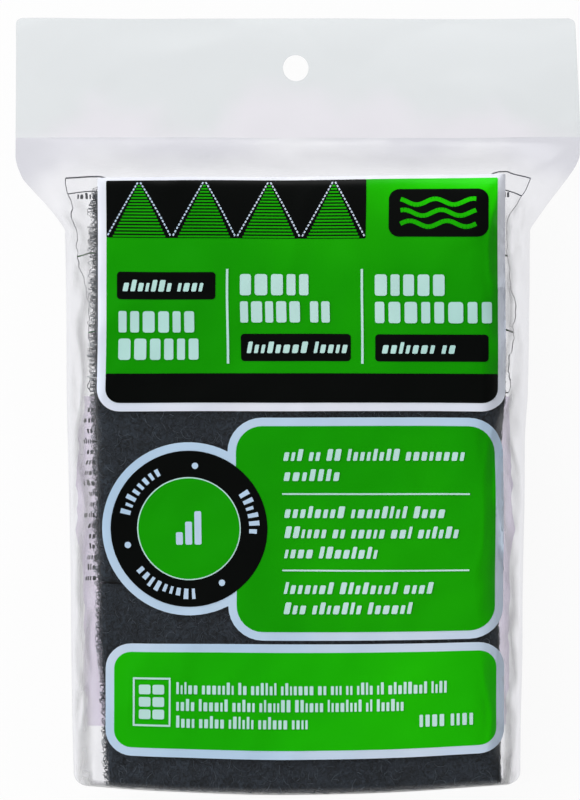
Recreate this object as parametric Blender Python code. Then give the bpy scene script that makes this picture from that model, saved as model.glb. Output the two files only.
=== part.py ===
"""A sealed hang bag of fibre scouring pads, lying on its back on a table.

Six fine fibre pads stand three in a column and two deep inside a clear film bag. The bag is one flat
tube of film: above the pads its two layers are welded into a header with a round hang hole, its sides
are the folds of the tube, and its foot is pulled tight under the pads. Its front is printed with three
fields of colour on a white ground.

Units are metres. X runs across the bag, Y from its foot to its header, and Z up from the table.
"""

import math

import bmesh
import bpy

# The pads: cut blocks of crimped fibre
PAD_LENGTH = 0.1016
PAD_WIDTH = 0.0508
PAD_THICKNESS = 0.0140
PAD_EDGE = 0.0014
PAD_GAP = 0.0003
PAD_ROWS = ("foot", "middle", "head")
PAD_LAYERS = ("back", "front")

# The film, and the air between it and the pads
FILM = 0.00025
FILM_CLEARANCE = 0.0003
WAIST_SLACK = 0.0070
FOOT_SIDE_SLACK = 0.0047
FOOT_SLACK = 0.0009
FOOT_CORNER = 0.0030

# The shoulders, where the tube spreads out flat again, and the header
SEAL_RISE = 0.0090
SHOULDER_DROP = 0.0044
SHOULDER_LENGTH = 0.0185
SHOULDER_CURVE = 0.85
HEADER_FLARE = 0.01205
HEADER_HEIGHT = 0.0294
HEADER_CORNER = 0.0015
HEADER_DROOP = 0.0060

# The gathers where the film is loose: above the pads and along the folds
GATHER_DEPTH = 0.0009
GATHER_SPACING = 0.0240
GATHER_REACH = 0.0080
FOLD_DEPTH = 0.0010
FOLD_SPACING = 0.0520

# The hang hole in the header, and the air vent under the print on the back
HANG_HOLE_DIAMETER = 0.0064
HANG_HOLE_DEPTH = 0.0123
VENT_DIAMETER = 0.0050
VENT_RISE = 0.0070
HOLE_SIDES = 32

# The print: layers of ink on the front, each drawn thick enough to be a solid
INK = 0.00010
OUTLINE = 0.0021
HEAD_OUTLINE = 0.0009
PRINT_SHIFT = 0.0009
PRINT_SIDE_MARGIN = 0.0005
FOOT_MARGIN = 0.0078
HEAD_MARGIN = 0.0003
FOOT_PANEL_HEIGHT = 0.0281
FOOT_PANEL_CORNER = 0.0063
MIDDLE_PANEL_GAP = 0.0009
MIDDLE_PANEL_CORNER = 0.0086
HEAD_PANEL_GAP = 0.0016
HEAD_PANEL_CORNER = 0.0056
HEAD_PANEL_TOP_CORNER = 0.0004
BAND_HEIGHT = 0.0073
STRIP_HEIGHT = 0.0151
STRIP_WIDTH = 0.0646
SIGN_GAP = 0.0056
SIGN_WIDTH = 0.0241
SIGN_HEIGHT = 0.0120
SIGN_CORNER = 0.0026
SIGN_DROP = 0.0027
LABEL_INDENT = 0.0026
LABEL_GAP = 0.0061
LEFT_LABEL_LENGTH = 0.0248
MIDDLE_LABEL_LENGTH = 0.0274
RIGHT_LABEL_LENGTH = 0.0272
LABEL_HEIGHT = 0.0068
LABEL_CORNER = 0.0009
LABEL_RISE = 0.0030
LABEL_DROP = 0.0084
RING_INDENT = 0.0012
RING_RADIUS = 0.0194
RING_MARGIN = 0.00615
RING_WIDTH = 0.0066
RING_LAP = 0.0118
DISC_GAP = 0.0003
RING_SIDES = 72
CORNER_SIDES = 6

# How finely the film is divided into flat faces
CORE_COLUMNS = 22
SLOPE_COLUMNS = 4
BODY_ROWS = 9
SHOULDER_ROWS = 5
SLOPE_ROWS = 4
HEADER_ROWS = 5
CORNER_ROWS = 3
SAME_PLACE = 0.00008

# Sizes that follow from those above
SEAT = FILM + FILM_CLEARANCE
BLOCK_HALF = PAD_LENGTH / 2
BLOCK_HEIGHT = len(PAD_ROWS) * PAD_WIDTH + (len(PAD_ROWS) - 1) * PAD_GAP
BLOCK_THICKNESS = len(PAD_LAYERS) * PAD_THICKNESS + (len(PAD_LAYERS) - 1) * PAD_GAP
BAG_HEIGHT = FOOT_SLACK + BLOCK_HEIGHT + SEAL_RISE + HEADER_HEIGHT
BAG_FOOT = -BAG_HEIGHT / 2
BAG_TOP = BAG_HEIGHT / 2
BLOCK_FOOT = BAG_FOOT + FOOT_SLACK
BLOCK_HEAD = BLOCK_FOOT + BLOCK_HEIGHT
SEAL = BLOCK_HEAD + SEAL_RISE
SHOULDER = SEAL - SHOULDER_DROP
WAIST = SHOULDER - SHOULDER_LENGTH
FRONT = BLOCK_THICKNESS + 2 * SEAT
FOLD_HEIGHT = FRONT / 2
FOOT_HALF = BLOCK_HALF + FOOT_SIDE_SLACK
WAIST_HALF = BLOCK_HALF + WAIST_SLACK
HEADER_HALF = WAIST_HALF + HEADER_FLARE


def clear_scene():
    """Remove every object, so that the file can be run again."""
    for thing in list(bpy.data.objects):
        bpy.data.objects.remove(thing)


def make_collection(name, shown=True):
    """A collection in the scene, hidden from renders if it only holds cutters."""
    group = bpy.data.collections.new(name)
    bpy.context.scene.collection.children.link(group)
    group.hide_render = not shown
    return group


def make_material(name, colour, roughness, alpha=1.0):
    """A plain material with the piece's colour."""
    material = bpy.data.materials.new(name)
    material.use_nodes = True
    shader = material.node_tree.nodes["Principled BSDF"]
    shader.inputs["Base Color"].default_value = (*colour, 1.0)
    shader.inputs["Roughness"].default_value = roughness
    shader.inputs["Alpha"].default_value = alpha
    return material


def add_object(name, mesh, group, material=None):
    """An object for a mesh, in its collection and with its material."""
    thing = bpy.data.objects.new(name, mesh)
    group.objects.link(thing)
    if material:
        mesh.materials.append(material)
    return thing


def mesh_from(shape, name):
    """A mesh from a bmesh, which is then freed."""
    mesh = bpy.data.meshes.new(name)
    bmesh.ops.recalc_face_normals(shape, faces=shape.faces)
    shape.to_mesh(mesh)
    shape.free()
    return mesh


def between(low, high, cells):
    """The places that divide a length into equal cells, both ends included."""
    return [low + (high - low) * step / cells for step in range(cells + 1)]


def merged(places, kept):
    """Sorted places without near doubles, where those in kept win."""
    found = sorted(kept)
    for place in places:
        if all(abs(place - other) > SAME_PLACE for other in found):
            found.append(place)
    return sorted(found)


def corner_inset(radius, distance):
    """How far a round corner draws an edge in, at a distance from the corner's end."""
    rise = max(radius - distance, 0.0)
    return radius - math.sqrt(max(radius * radius - rise * rise, 0.0))


def half_width(y):
    """Half the width of the bag at a height: a tapered body, curved shoulders and a straight header."""
    if y <= WAIST:
        share = (y - BAG_FOOT) / (WAIST - BAG_FOOT)
        half = FOOT_HALF + (WAIST_HALF - FOOT_HALF) * share
    elif y < SHOULDER:
        share = (y - WAIST) / SHOULDER_LENGTH
        curve = SHOULDER_CURVE * share**3 * (1 - share)
        half = WAIST_HALF + HEADER_FLARE * (share + curve)
    else:
        half = HEADER_HALF
    foot = corner_inset(FOOT_CORNER, y - BAG_FOOT)
    top = corner_inset(HEADER_CORNER, BAG_TOP - y)
    return half - foot - top


def fold_height(y):
    """The height at which the front and back of the bag meet: the header droops from its seal."""
    share = max(y - SEAL, 0.0) / HEADER_HEIGHT
    return FOLD_HEIGHT - HEADER_DROOP * share * share


def wave(place, spacing):
    """An uneven wave between -1 and 1, made of two that don't keep step."""
    turn = math.tau * place / spacing
    return (math.sin(turn) + math.sin(turn * math.sqrt(3) + 1.0) / 2) / 1.5


def gather(x, y, share):
    """How far loose film stands off the straight slope, where share is 0 at the pads and 1 at the edge.

    The gathers above the pads run on a little way into the header, and fade towards its sides.
    """
    if y > SEAL:
        spread = max(1 - (y - SEAL) / GATHER_REACH, 0.0) ** 2
    else:
        spread = max((y - BLOCK_HEAD - SEAT) / (SEAL - BLOCK_HEAD - SEAT), 0.0)
    beside = 1 - (x / HEADER_HALF) ** 2
    head = GATHER_DEPTH * spread * beside * wave(x, GATHER_SPACING)
    side = FOLD_DEPTH * math.sin(math.pi * share) * wave(y, FOLD_SPACING) if y < BLOCK_HEAD else 0.0
    return head + side


def film_height(x, y, side, inset):
    """The height of the film at a point, side 1 for the front and -1 for the back.

    The film lies flat over the pads and slopes down from their edges to the folds, the seal and the
    foot, with gathers where it is loose. Inset is how deep the surface lies inside the outer face.
    """
    grow = SEAT - inset
    beside = max(abs(x) - BLOCK_HALF - grow, 0.0)
    beyond = max(y - BLOCK_HEAD - grow, BLOCK_FOOT - grow - y, 0.0)
    off_pads = math.hypot(beside, beyond)
    to_edge = min(half_width(y) - inset - abs(x), SEAL - y, y - BAG_FOOT - inset)
    to_edge = max(to_edge, 0.0)
    share = off_pads / (off_pads + to_edge) if off_pads > 0 else 0.0
    if y >= SEAL:
        share = 1.0
    flat = FRONT - inset if side > 0 else inset
    edge = fold_height(y) + side * (FILM - inset)
    return flat + (edge - flat) * share + gather(x, y, share)


def column_shares():
    """The columns of faces across the bag, as (share of the pads' half width, share of the slope)."""
    slope = between(1.0, 0.0, SLOPE_COLUMNS)
    left = [(-1.0, share) for share in slope[:-1]]
    core = [(share, 0.0) for share in between(-1.0, 1.0, CORE_COLUMNS)]
    right = [(1.0, share) for share in reversed(slope[:-1])]
    return left + core + right


def row_places(inset, top):
    """The rows of faces from the foot of the bag to top, with rows on every crease."""
    grow = SEAT - inset
    foot = BAG_FOOT + inset
    creases = [foot, BLOCK_FOOT - grow, WAIST, SHOULDER, BLOCK_HEAD + grow, SEAL, top]
    round_foot = [foot + FOOT_CORNER * share * share for share in between(0, 1, CORNER_ROWS)]
    body = between(foot + FOOT_CORNER, WAIST, BODY_ROWS)
    shoulder = between(WAIST, SHOULDER, SHOULDER_ROWS)
    slope = between(BLOCK_HEAD + grow, SEAL, SLOPE_ROWS)
    header = between(SEAL, BAG_TOP, HEADER_ROWS)
    round_top = [BAG_TOP - HEADER_CORNER * share * share for share in between(0, 1, CORNER_ROWS)]
    places = round_foot + body + shoulder + slope + header + round_top
    creases = [place for place in creases if place <= top]
    return merged([place for place in places if foot < place < top], set(creases))


def film_skin(name, inset, top):
    """A closed skin round the pads, at a depth inside the film's outer face, up to top."""
    columns = column_shares()
    rows = row_places(inset, top)
    core = BLOCK_HALF + SEAT - inset
    shape = bmesh.new()
    rims = []
    for side in (1, -1):
        made = bmesh.ops.create_grid(shape, x_segments=len(columns) - 1, y_segments=len(rows) - 1, size=0.5)
        sheet = sorted(made["verts"], key=lambda point: (round(point.co.y, 5), round(point.co.x, 5)))
        for index, point in enumerate(sheet):
            y = rows[index // len(columns)]
            across, slope = columns[index % len(columns)]
            edge = half_width(y) - inset
            x = across * (core + (edge - core) * slope)
            point.co = (x, y, film_height(x, y, side, inset))
        rims += sheet_rim(sheet)
    bmesh.ops.bridge_loops(shape, edges=rims)
    return mesh_from(shape, name)


def sheet_rim(sheet):
    """The edges round the outside of one sheet of the skin."""
    edges = {edge for point in sheet for edge in point.link_edges}
    return [edge for edge in edges if edge.is_boundary]


def round_cutter(name, radius, place, depth, group):
    """An upright cylinder that cuts a round hole."""
    shape = bmesh.new()
    bmesh.ops.create_cone(
        shape, cap_ends=True, segments=HOLE_SIDES, radius1=radius, radius2=radius, depth=depth
    )
    cutter = add_object(name, mesh_from(shape, name), group)
    cutter.location = place
    hide_cutter(cutter)
    return cutter


def hide_cutter(cutter):
    """Keep a cutter out of renders and draw it as wires."""
    cutter.hide_render = True
    cutter.display_type = "WIRE"


def combine(thing, other, operation):
    """Add a Boolean modifier that cuts the other object away or joins it."""
    modifier = thing.modifiers.new(other.name, "BOOLEAN")
    modifier.operation = operation
    modifier.object = other


def make_bag(group, cutters, material):
    """The bag: its outer skin less the pocket for the pads, the vent and the hang hole."""
    bag = add_object("bag", film_skin("bag", 0.0, BAG_TOP), group, material)
    pocket = add_object("pocket", film_skin("pocket", FILM * 0.96, SEAL), cutters)
    hide_cutter(pocket)
    vent_place = (0.0, BLOCK_FOOT + VENT_RISE, 0.0)
    vent = round_cutter("vent", VENT_DIAMETER / 2, vent_place, 2 * FILM + FILM_CLEARANCE, cutters)
    hole_y = BAG_TOP - HANG_HOLE_DEPTH
    hole_place = (0.0, hole_y, fold_height(hole_y))
    hole = round_cutter("hang_hole", HANG_HOLE_DIAMETER / 2, hole_place, 2 * HEADER_DROOP, cutters)
    for cutter in (pocket, vent, hole):
        combine(bag, cutter, "DIFFERENCE")
    return bag


def make_pad(name, centre, group, material):
    """One pad: a block of fibre with its cut edges a little rounded."""
    shape = bmesh.new()
    bmesh.ops.create_cube(shape, size=1.0)
    bmesh.ops.scale(shape, vec=(PAD_LENGTH, PAD_WIDTH, PAD_THICKNESS), verts=shape.verts)
    bmesh.ops.bevel(
        shape, geom=shape.edges, offset=PAD_EDGE, segments=2, profile=0.5, affect="EDGES"
    )
    pad = add_object(name, mesh_from(shape, name), group, material)
    pad.location = centre
    return pad


def make_pads(group, material):
    """The block of pads: three in a column, two deep."""
    for layer, layer_name in enumerate(PAD_LAYERS):
        for row, row_name in enumerate(PAD_ROWS):
            y = BLOCK_FOOT + PAD_WIDTH / 2 + row * (PAD_WIDTH + PAD_GAP)
            z = SEAT + PAD_THICKNESS / 2 + layer * (PAD_THICKNESS + PAD_GAP)
            make_pad(f"pad_{layer_name}_{row_name}", (0.0, y, z), group, material)


def arc(centre_x, centre_y, radius, start, end, sides):
    """Points along an arc, from one angle to another in degrees."""
    angles = between(math.radians(start), math.radians(end), sides)
    return [(centre_x + radius * math.cos(a), centre_y + radius * math.sin(a)) for a in angles]


def panel_outline(left, right, foot, head, foot_corner, head_corner):
    """A rectangle with round corners, anticlockwise from its lower right corner."""
    corners = (
        (right, foot, -1, 1, foot_corner, -90),
        (right, head, -1, -1, head_corner, 0),
        (left, head, 1, -1, head_corner, 90),
        (left, foot, 1, 1, foot_corner, 180),
    )
    points = []
    for x, y, inward_x, inward_y, radius, start in corners:
        centre = (x + inward_x * radius, y + inward_y * radius)
        points += arc(*centre, radius, start, start + 90, CORNER_SIDES)
    return points


def circle_outline(centre_x, centre_y, radius):
    """A closed circle of points."""
    return arc(centre_x, centre_y, radius, 0, 360, RING_SIDES)[:-1]


def ink_field(name, outlines, layer, group, material):
    """A field of ink: a filled flat curve, drawn one ink layer thick on the front of the bag."""
    curve = bpy.data.curves.new(name, "CURVE")
    curve.dimensions = "2D"
    curve.fill_mode = "BOTH"
    curve.extrude = INK / 2
    for outline in outlines:
        spline = curve.splines.new("POLY")
        spline.points.add(len(outline) - 1)
        for point, (x, y) in zip(spline.points, outline):
            point.co = (x, y, 0.0, 1.0)
        spline.use_cyclic_u = True
    field = bpy.data.objects.new(name, curve)
    field.location = (0.0, 0.0, FRONT + INK * (layer + 0.5))
    group.objects.link(field)
    curve.materials.append(material)
    return field


def as_mesh(field):
    """The same field as a mesh object, so that it can be joined to another."""
    bpy.context.view_layer.update()
    evaluated = field.evaluated_get(bpy.context.evaluated_depsgraph_get())
    mesh = bpy.data.meshes.new_from_object(evaluated)
    shape = bmesh.new()
    shape.from_mesh(mesh)
    bmesh.ops.remove_doubles(shape, verts=shape.verts, dist=INK / 100)
    bmesh.ops.recalc_face_normals(shape, faces=shape.faces)
    shape.to_mesh(mesh)
    shape.free()
    name, place, group = field.name, field.matrix_world.copy(), field.users_collection[0]
    bpy.data.objects.remove(field)
    solid = bpy.data.objects.new(name, mesh)
    solid.matrix_world = place
    group.objects.link(solid)
    return solid


def make_print(group, cutters, inks):
    """The three printed panels, from the white ground up to the black."""
    white, green, black = inks
    ground_half = BLOCK_HALF - PRINT_SIDE_MARGIN
    left, right = PRINT_SHIFT - ground_half, PRINT_SHIFT + ground_half

    foot = BLOCK_FOOT + FOOT_MARGIN
    head = foot + FOOT_PANEL_HEIGHT
    ground = panel_outline(left + OUTLINE, right, foot, head, FOOT_PANEL_CORNER, FOOT_PANEL_CORNER)
    ink_field("white_panel_foot", [ground], 0, group, white)
    corner = FOOT_PANEL_CORNER - OUTLINE
    field = panel_outline(
        left + 2 * OUTLINE, right - OUTLINE, foot + OUTLINE, head - OUTLINE, corner, corner
    )
    ink_field("green_panel_foot", [field], 1, group, green)

    foot = head + MIDDLE_PANEL_GAP
    ground_radius = RING_RADIUS + OUTLINE
    hole_radius = RING_RADIUS - RING_WIDTH
    head = foot + 2 * (ground_radius + RING_MARGIN)
    ring_x = left + RING_INDENT + ground_radius
    ring_y = (foot + head) / 2
    side = ring_x + ground_radius - RING_LAP
    ground = panel_outline(side, right, foot, head, MIDDLE_PANEL_CORNER, MIDDLE_PANEL_CORNER)
    panel_ground = as_mesh(ink_field("white_panel_middle", [ground], 0, group, white))
    circle = circle_outline(ring_x, ring_y, ground_radius)
    ring_ground = as_mesh(ink_field("ring_ground", [circle], 0, cutters, white))
    hide_cutter(ring_ground)
    combine(panel_ground, ring_ground, "UNION")
    corner = MIDDLE_PANEL_CORNER - OUTLINE
    field = panel_outline(
        side + OUTLINE, right - OUTLINE, foot + OUTLINE, head - OUTLINE, corner, corner
    )
    ink_field("green_panel_middle", [field], 1, group, green)
    outer = circle_outline(ring_x, ring_y, RING_RADIUS)
    inner = circle_outline(ring_x, ring_y, hole_radius)
    ink_field("grade_ring", [outer, inner], 2, group, black)
    disc = circle_outline(ring_x, ring_y, hole_radius - DISC_GAP)
    ink_field("grade_disc", [disc], 2, group, green)

    foot = head + HEAD_PANEL_GAP
    head = BLOCK_HEAD - HEAD_MARGIN
    top_corner = HEAD_PANEL_TOP_CORNER
    ground = panel_outline(left, right, foot, head, HEAD_PANEL_CORNER, top_corner)
    ink_field("white_panel_head", [ground], 0, group, white)
    left += OUTLINE
    right -= OUTLINE
    foot += OUTLINE
    head -= HEAD_OUTLINE
    corner = HEAD_PANEL_CORNER - OUTLINE
    field = panel_outline(left, right, foot, head, corner, top_corner)
    ink_field("green_panel_head", [field], 1, group, green)
    band = panel_outline(left, right, foot, foot + BAND_HEIGHT, corner, top_corner)
    ink_field("black_band", [band], 2, group, black)
    strip = panel_outline(left, left + STRIP_WIDTH, head - STRIP_HEIGHT, head, top_corner, top_corner)
    ink_field("pattern_strip", [strip], 2, group, black)
    sign_left, sign_head = left + STRIP_WIDTH + SIGN_GAP, head - SIGN_DROP
    sign = panel_outline(
        sign_left, sign_left + SIGN_WIDTH, sign_head - SIGN_HEIGHT, sign_head, SIGN_CORNER, SIGN_CORNER
    )
    ink_field("sign_field", [sign], 2, group, black)
    low = foot + BAND_HEIGHT + LABEL_RISE
    high = head - STRIP_HEIGHT - LABEL_DROP - LABEL_HEIGHT
    make_labels(left + LABEL_INDENT, low, high, group, black)


def make_labels(left, low, high, group, ink):
    """Three black labels: the first stands high, under the strip, and the others low, over the band."""
    labels = (
        ("left", LEFT_LABEL_LENGTH, high),
        ("middle", MIDDLE_LABEL_LENGTH, low),
        ("right", RIGHT_LABEL_LENGTH, low),
    )
    side = left
    for name, length, base in labels:
        outline = panel_outline(side, side + length, base, base + LABEL_HEIGHT, LABEL_CORNER, LABEL_CORNER)
        ink_field(f"label_{name}", [outline], 2, group, ink)
        side += length + LABEL_GAP


def smooth_faces(thing, angle):
    """Shade a mesh smooth, apart from its sharp creases."""
    thing.data.shade_smooth()
    thing.data.set_sharp_from_angle(angle=math.radians(angle))


def main():
    clear_scene()
    pack = make_collection("pad_pack")
    cutters = make_collection("cutters", shown=False)
    film = make_material("clear_film", (0.80, 0.82, 0.85), 0.15, alpha=0.35)
    fibre = make_material("pad_fibre", (0.022, 0.026, 0.032), 0.95)
    white = make_material("white_ink", (0.62, 0.72, 0.85), 0.35)
    green = make_material("green_ink", (0.011, 0.35, 0.002), 0.30)
    black = make_material("black_ink", (0.005, 0.006, 0.006), 0.30)
    bag = make_bag(pack, cutters, film)
    smooth_faces(bag, 30)
    make_pads(pack, fibre)
    make_print(pack, cutters, (white, green, black))


main()
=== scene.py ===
# %% [markdown]
# A sealed bag of synthetic steel wool pads, lying on its back.
#
# Six charcoal fibre pads lie three in a column and two deep inside a clear film bag. The film is the
# hard part: it is almost nothing to look at, and everything that shows it is an edge, a crease or a
# glint. So the film is built first, as one function that gives its height at any point of the flat
# layout. The print, the pads and the fibres all ask that function where the film is.

# %% Load the frame
import math

import bmesh
import bpy
import numpy as np
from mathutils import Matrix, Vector, noise


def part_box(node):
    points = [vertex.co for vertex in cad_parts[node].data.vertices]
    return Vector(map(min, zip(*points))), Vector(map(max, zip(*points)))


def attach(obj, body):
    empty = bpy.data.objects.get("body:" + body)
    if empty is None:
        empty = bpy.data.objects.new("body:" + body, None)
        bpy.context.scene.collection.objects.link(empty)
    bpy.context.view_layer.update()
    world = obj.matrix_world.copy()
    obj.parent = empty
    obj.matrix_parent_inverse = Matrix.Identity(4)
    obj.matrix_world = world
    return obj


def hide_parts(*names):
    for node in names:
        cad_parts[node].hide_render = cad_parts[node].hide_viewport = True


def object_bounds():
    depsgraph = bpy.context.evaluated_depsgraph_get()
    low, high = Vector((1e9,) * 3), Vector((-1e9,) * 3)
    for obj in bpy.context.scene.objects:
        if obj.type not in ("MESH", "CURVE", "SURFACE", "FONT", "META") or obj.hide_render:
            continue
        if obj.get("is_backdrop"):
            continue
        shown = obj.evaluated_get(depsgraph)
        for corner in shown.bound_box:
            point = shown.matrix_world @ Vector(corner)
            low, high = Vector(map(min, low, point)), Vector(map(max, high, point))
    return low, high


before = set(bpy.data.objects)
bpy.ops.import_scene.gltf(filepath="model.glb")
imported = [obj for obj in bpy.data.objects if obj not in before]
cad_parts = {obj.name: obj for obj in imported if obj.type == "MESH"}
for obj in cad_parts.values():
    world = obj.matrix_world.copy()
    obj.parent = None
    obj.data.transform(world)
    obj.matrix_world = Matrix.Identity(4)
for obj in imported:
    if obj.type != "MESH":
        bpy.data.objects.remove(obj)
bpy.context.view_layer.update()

# %% [markdown]
# The frame gives the size of the pads and of the bag. The few sizes that it can't give, such as where
# the shoulders begin, are written here as real lengths. One name stands for a millimetre, so that each
# size reads as it would on a drawing.

# %% Sizes of the pads and the bag
MM = 0.001
ROWS = ("foot", "middle", "head")
LAYERS = ("back", "front")
pad_boxes = {f"pad_{layer}_{row}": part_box(f"pad_{layer}_{row}") for layer in LAYERS for row in ROWS}
bag_low, bag_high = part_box("bag")

BLOCK_HALF = max(high.x for low, high in pad_boxes.values())
BLOCK_FOOT = min(low.y for low, high in pad_boxes.values())
BLOCK_HEAD = max(high.y for low, high in pad_boxes.values())
BAG_FOOT, BAG_TOP, FRONT = bag_low.y, bag_high.y, bag_high.z
HEADER_HALF = bag_high.x

SEAT = 0.55 * MM
SEAL = BLOCK_HEAD + 9.0 * MM
SHOULDER = SEAL - 4.4 * MM
WAIST = SHOULDER - 18.5 * MM
SHOULDER_CURVE = 0.85
WAIST_HALF = BLOCK_HALF + 7.0 * MM
FOOT_HALF = BLOCK_HALF + 4.7 * MM
FOOT_CORNER = 3.0 * MM
HEADER_CORNER = 1.5 * MM
HEADER_DROOP = 6.0 * MM
FOLD_HEIGHT = FRONT / 2
HOLE_RADIUS = 3.2 * MM
HOLE_Y = BAG_TOP - 12.3 * MM
VENT_RADIUS = 2.5 * MM
VENT_Y = BLOCK_FOOT + 7.0 * MM
print("pads", len(pad_boxes), "block height in mm", round((BLOCK_HEAD - BLOCK_FOOT) / MM, 1))

# %% [markdown]
# The outline of the bag is one tube of film seen from above. Where it is empty, in the header, it lies
# flat and is widest. Where the pads fill it, the same film has to go round them, so the bag is narrower.
# The shoulders are the stretch between. A formula for half the width is simpler than an outline of
# points, and every row of the film can ask it.


# %% Outline of the bag
def corner_inset(radius, distance):
    """How far a round corner draws an edge in, at a distance from the corner's end."""
    rise = max(radius - distance, 0.0)
    return radius - math.sqrt(max(radius * radius - rise * rise, 0.0))


def half_width(y):
    """Half the width of the bag at a height: a tapered body, curved shoulders, a straight header."""
    if y <= WAIST:
        share = (y - BAG_FOOT) / (WAIST - BAG_FOOT)
        half = FOOT_HALF + (WAIST_HALF - FOOT_HALF) * share
    elif y < SHOULDER:
        share = (y - WAIST) / (SHOULDER - WAIST)
        half = WAIST_HALF + (HEADER_HALF - WAIST_HALF) * (share + SHOULDER_CURVE * share**3 * (1 - share))
    else:
        half = HEADER_HALF
    return half - corner_inset(FOOT_CORNER, y - BAG_FOOT) - corner_inset(HEADER_CORNER, BAG_TOP - y)


# %% [markdown]
# Film can't stretch, so where it is loose it folds and creases. Creases are sharp lines with flat
# patches between them. The absolute value of a smooth noise gives just that: it folds wherever the
# noise crosses zero. A slow wave under it makes the wider gathers. Both are strongest half way between
# the pads and the edge, where the film is held by neither. Two small puckers stand beside the head
# panel, where the film caught on the edge of the pads. Each is a place, a width, a height and a depth.


# %% Creases and gathers
GATHER_DEPTH = 0.9 * MM
GATHER_SPACING = 24.0 * MM
GATHER_REACH = 8.0 * MM
FOLD_DEPTH = 1.0 * MM
FOLD_SPACING = 52.0 * MM
SIDE_CREASE = 1.5 * MM
CREASE_CHANGE = 9.0 * MM
HEAD_CREASE = 0.45 * MM
HEADER_CREASE = 0.35 * MM
PAD_CREASE = 0.16 * MM
PUCKERS = (
    (-53.0 * MM, 31.5 * MM, 2.6 * MM, 4.5 * MM, 1.3 * MM),
    (51.5 * MM, 43.5 * MM, 2.4 * MM, 2.6 * MM, 1.0 * MM),
)


def wave(place, spacing):
    """An uneven wave between -1 and 1, made of two that don't keep step."""
    turn = math.tau * place / spacing
    return (math.sin(turn) + math.sin(turn * math.sqrt(3) + 1.0) / 2) / 1.5


def soft(x, y, width, height, seed):
    """Smooth noise of about -1 to 1, with patches of the given size."""
    return 2 * noise.noise(Vector((x / width, y / height, seed)))


def crease(x, y, width, height, seed):
    """Flat patches with sharp ridges between them, of about -1 to 1."""
    return 1 - 2 * min(abs(soft(x, y, width, height, seed)) * 1.4, 1.0)


def pucker(x, y):
    """How far the film stands up in its small tight gathers."""
    rise = 0.0
    for centre_x, centre_y, across, along, depth in PUCKERS:
        away = ((x - centre_x) / across) ** 2 + ((y - centre_y) / along) ** 2
        rise += depth * math.exp(-away) * (1 + crease(x + y / 2, y, 2.2 * MM, 3.4 * MM, 4.4)) / 2
    return rise


def slack(x, y, share, side):
    """How far loose film stands off its plain slope, on the front (side 1) or the back (side -1)."""
    loose = math.sin(math.pi * share)
    seed = 3.7 if side > 0 else 8.2
    if y > SEAL:
        spread = max(1 - (y - SEAL) / GATHER_REACH, 0.0) ** 2
    else:
        spread = max((y - BLOCK_HEAD - SEAT) / (SEAL - BLOCK_HEAD - SEAT), 0.0)
    beside = 1 - (x / HEADER_HALF) ** 2
    rise = GATHER_DEPTH * spread * beside * wave(x, GATHER_SPACING)
    if side > 0:
        rise += pucker(x, y)
    at_head = min(max((y - BLOCK_HEAD) / CREASE_CHANGE + 1, 0.0), 1.0)
    at_side = 1 - at_head
    rise += at_side * FOLD_DEPTH * loose * wave(y, FOLD_SPACING)
    rise += at_side * SIDE_CREASE * loose * crease(x, y, 5 * MM, 17 * MM, seed)
    rise += at_side * SIDE_CREASE * 0.5 * loose * crease(x + y, y - x, 6 * MM, 11 * MM, seed + 1)
    rise += at_head * HEAD_CREASE * loose * crease(x, y, 13 * MM, 26 * MM, seed)
    rise += at_head * HEAD_CREASE * 0.5 * loose * crease(x + y, y, 21 * MM, 9 * MM, seed + 1)
    return rise


def tight(x, y):
    """The faint ripple of the film where it lies on the pads."""
    broad = PAD_CREASE * crease(x, y, 34 * MM, 22 * MM, 1.3)
    fine = PAD_CREASE * 0.5 * crease(x - y, x + y, 17 * MM, 29 * MM, 5.1)
    return broad + fine


def header_wave(x, y):
    """The slow ripple of the header, which both its layers share."""
    broad = HEADER_CREASE * 1.6 * soft(x, y, 48 * MM, 30 * MM, 2.2)
    return broad + HEADER_CREASE * crease(x, y, 37 * MM, 19 * MM, 6.4)


# %% [markdown]
# Now the film itself. Over the pads it lies flat. Outside them it slopes to the folds at the sides, to
# the seal at the head and to the foot. Its bend over the pads' edge is soft, because the pads give way:
# the logarithm of an exponential is a curve that starts at nothing and turns smoothly into a straight
# line. The bend is widest on the right, where the film is slack, and tight at the foot, where it is
# pulled under the pads. From the seal up, both layers lie together and hang down a little.


# %% Height of the film
LEFT_BEND = 1.0 * MM
RIGHT_BEND = 1.9 * MM
FOOT_BEND = 0.35 * MM
FOOT_GRIP = 9 * MM
FLATTEN = 1.7
FOLD_WAVE = 0.3
FILM = 0.10 * MM
WELD = 0.12 * MM


def off_pads(x, y, inset):
    """How far a point lies outside the pads, starting softly a little inside their edge."""
    grow = SEAT - inset
    beside = abs(x) - BLOCK_HALF - grow
    beyond = max(y - BLOCK_HEAD - grow, BLOCK_FOOT - grow - y)
    outside = math.hypot(max(beside, 0.0), max(beyond, 0.0)) + min(max(beside, beyond), 0.0)
    free = min(max((y - BLOCK_FOOT) / FOOT_GRIP, 0.0), 1.0)
    aside = min(max((x / BLOCK_HALF + 1) / 2, 0.0), 1.0)
    loose_bend = LEFT_BEND + (RIGHT_BEND - LEFT_BEND) * aside
    bend = FOOT_BEND + (loose_bend - FOOT_BEND) * free * free
    return bend * math.log1p(math.exp(outside / bend))


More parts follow.
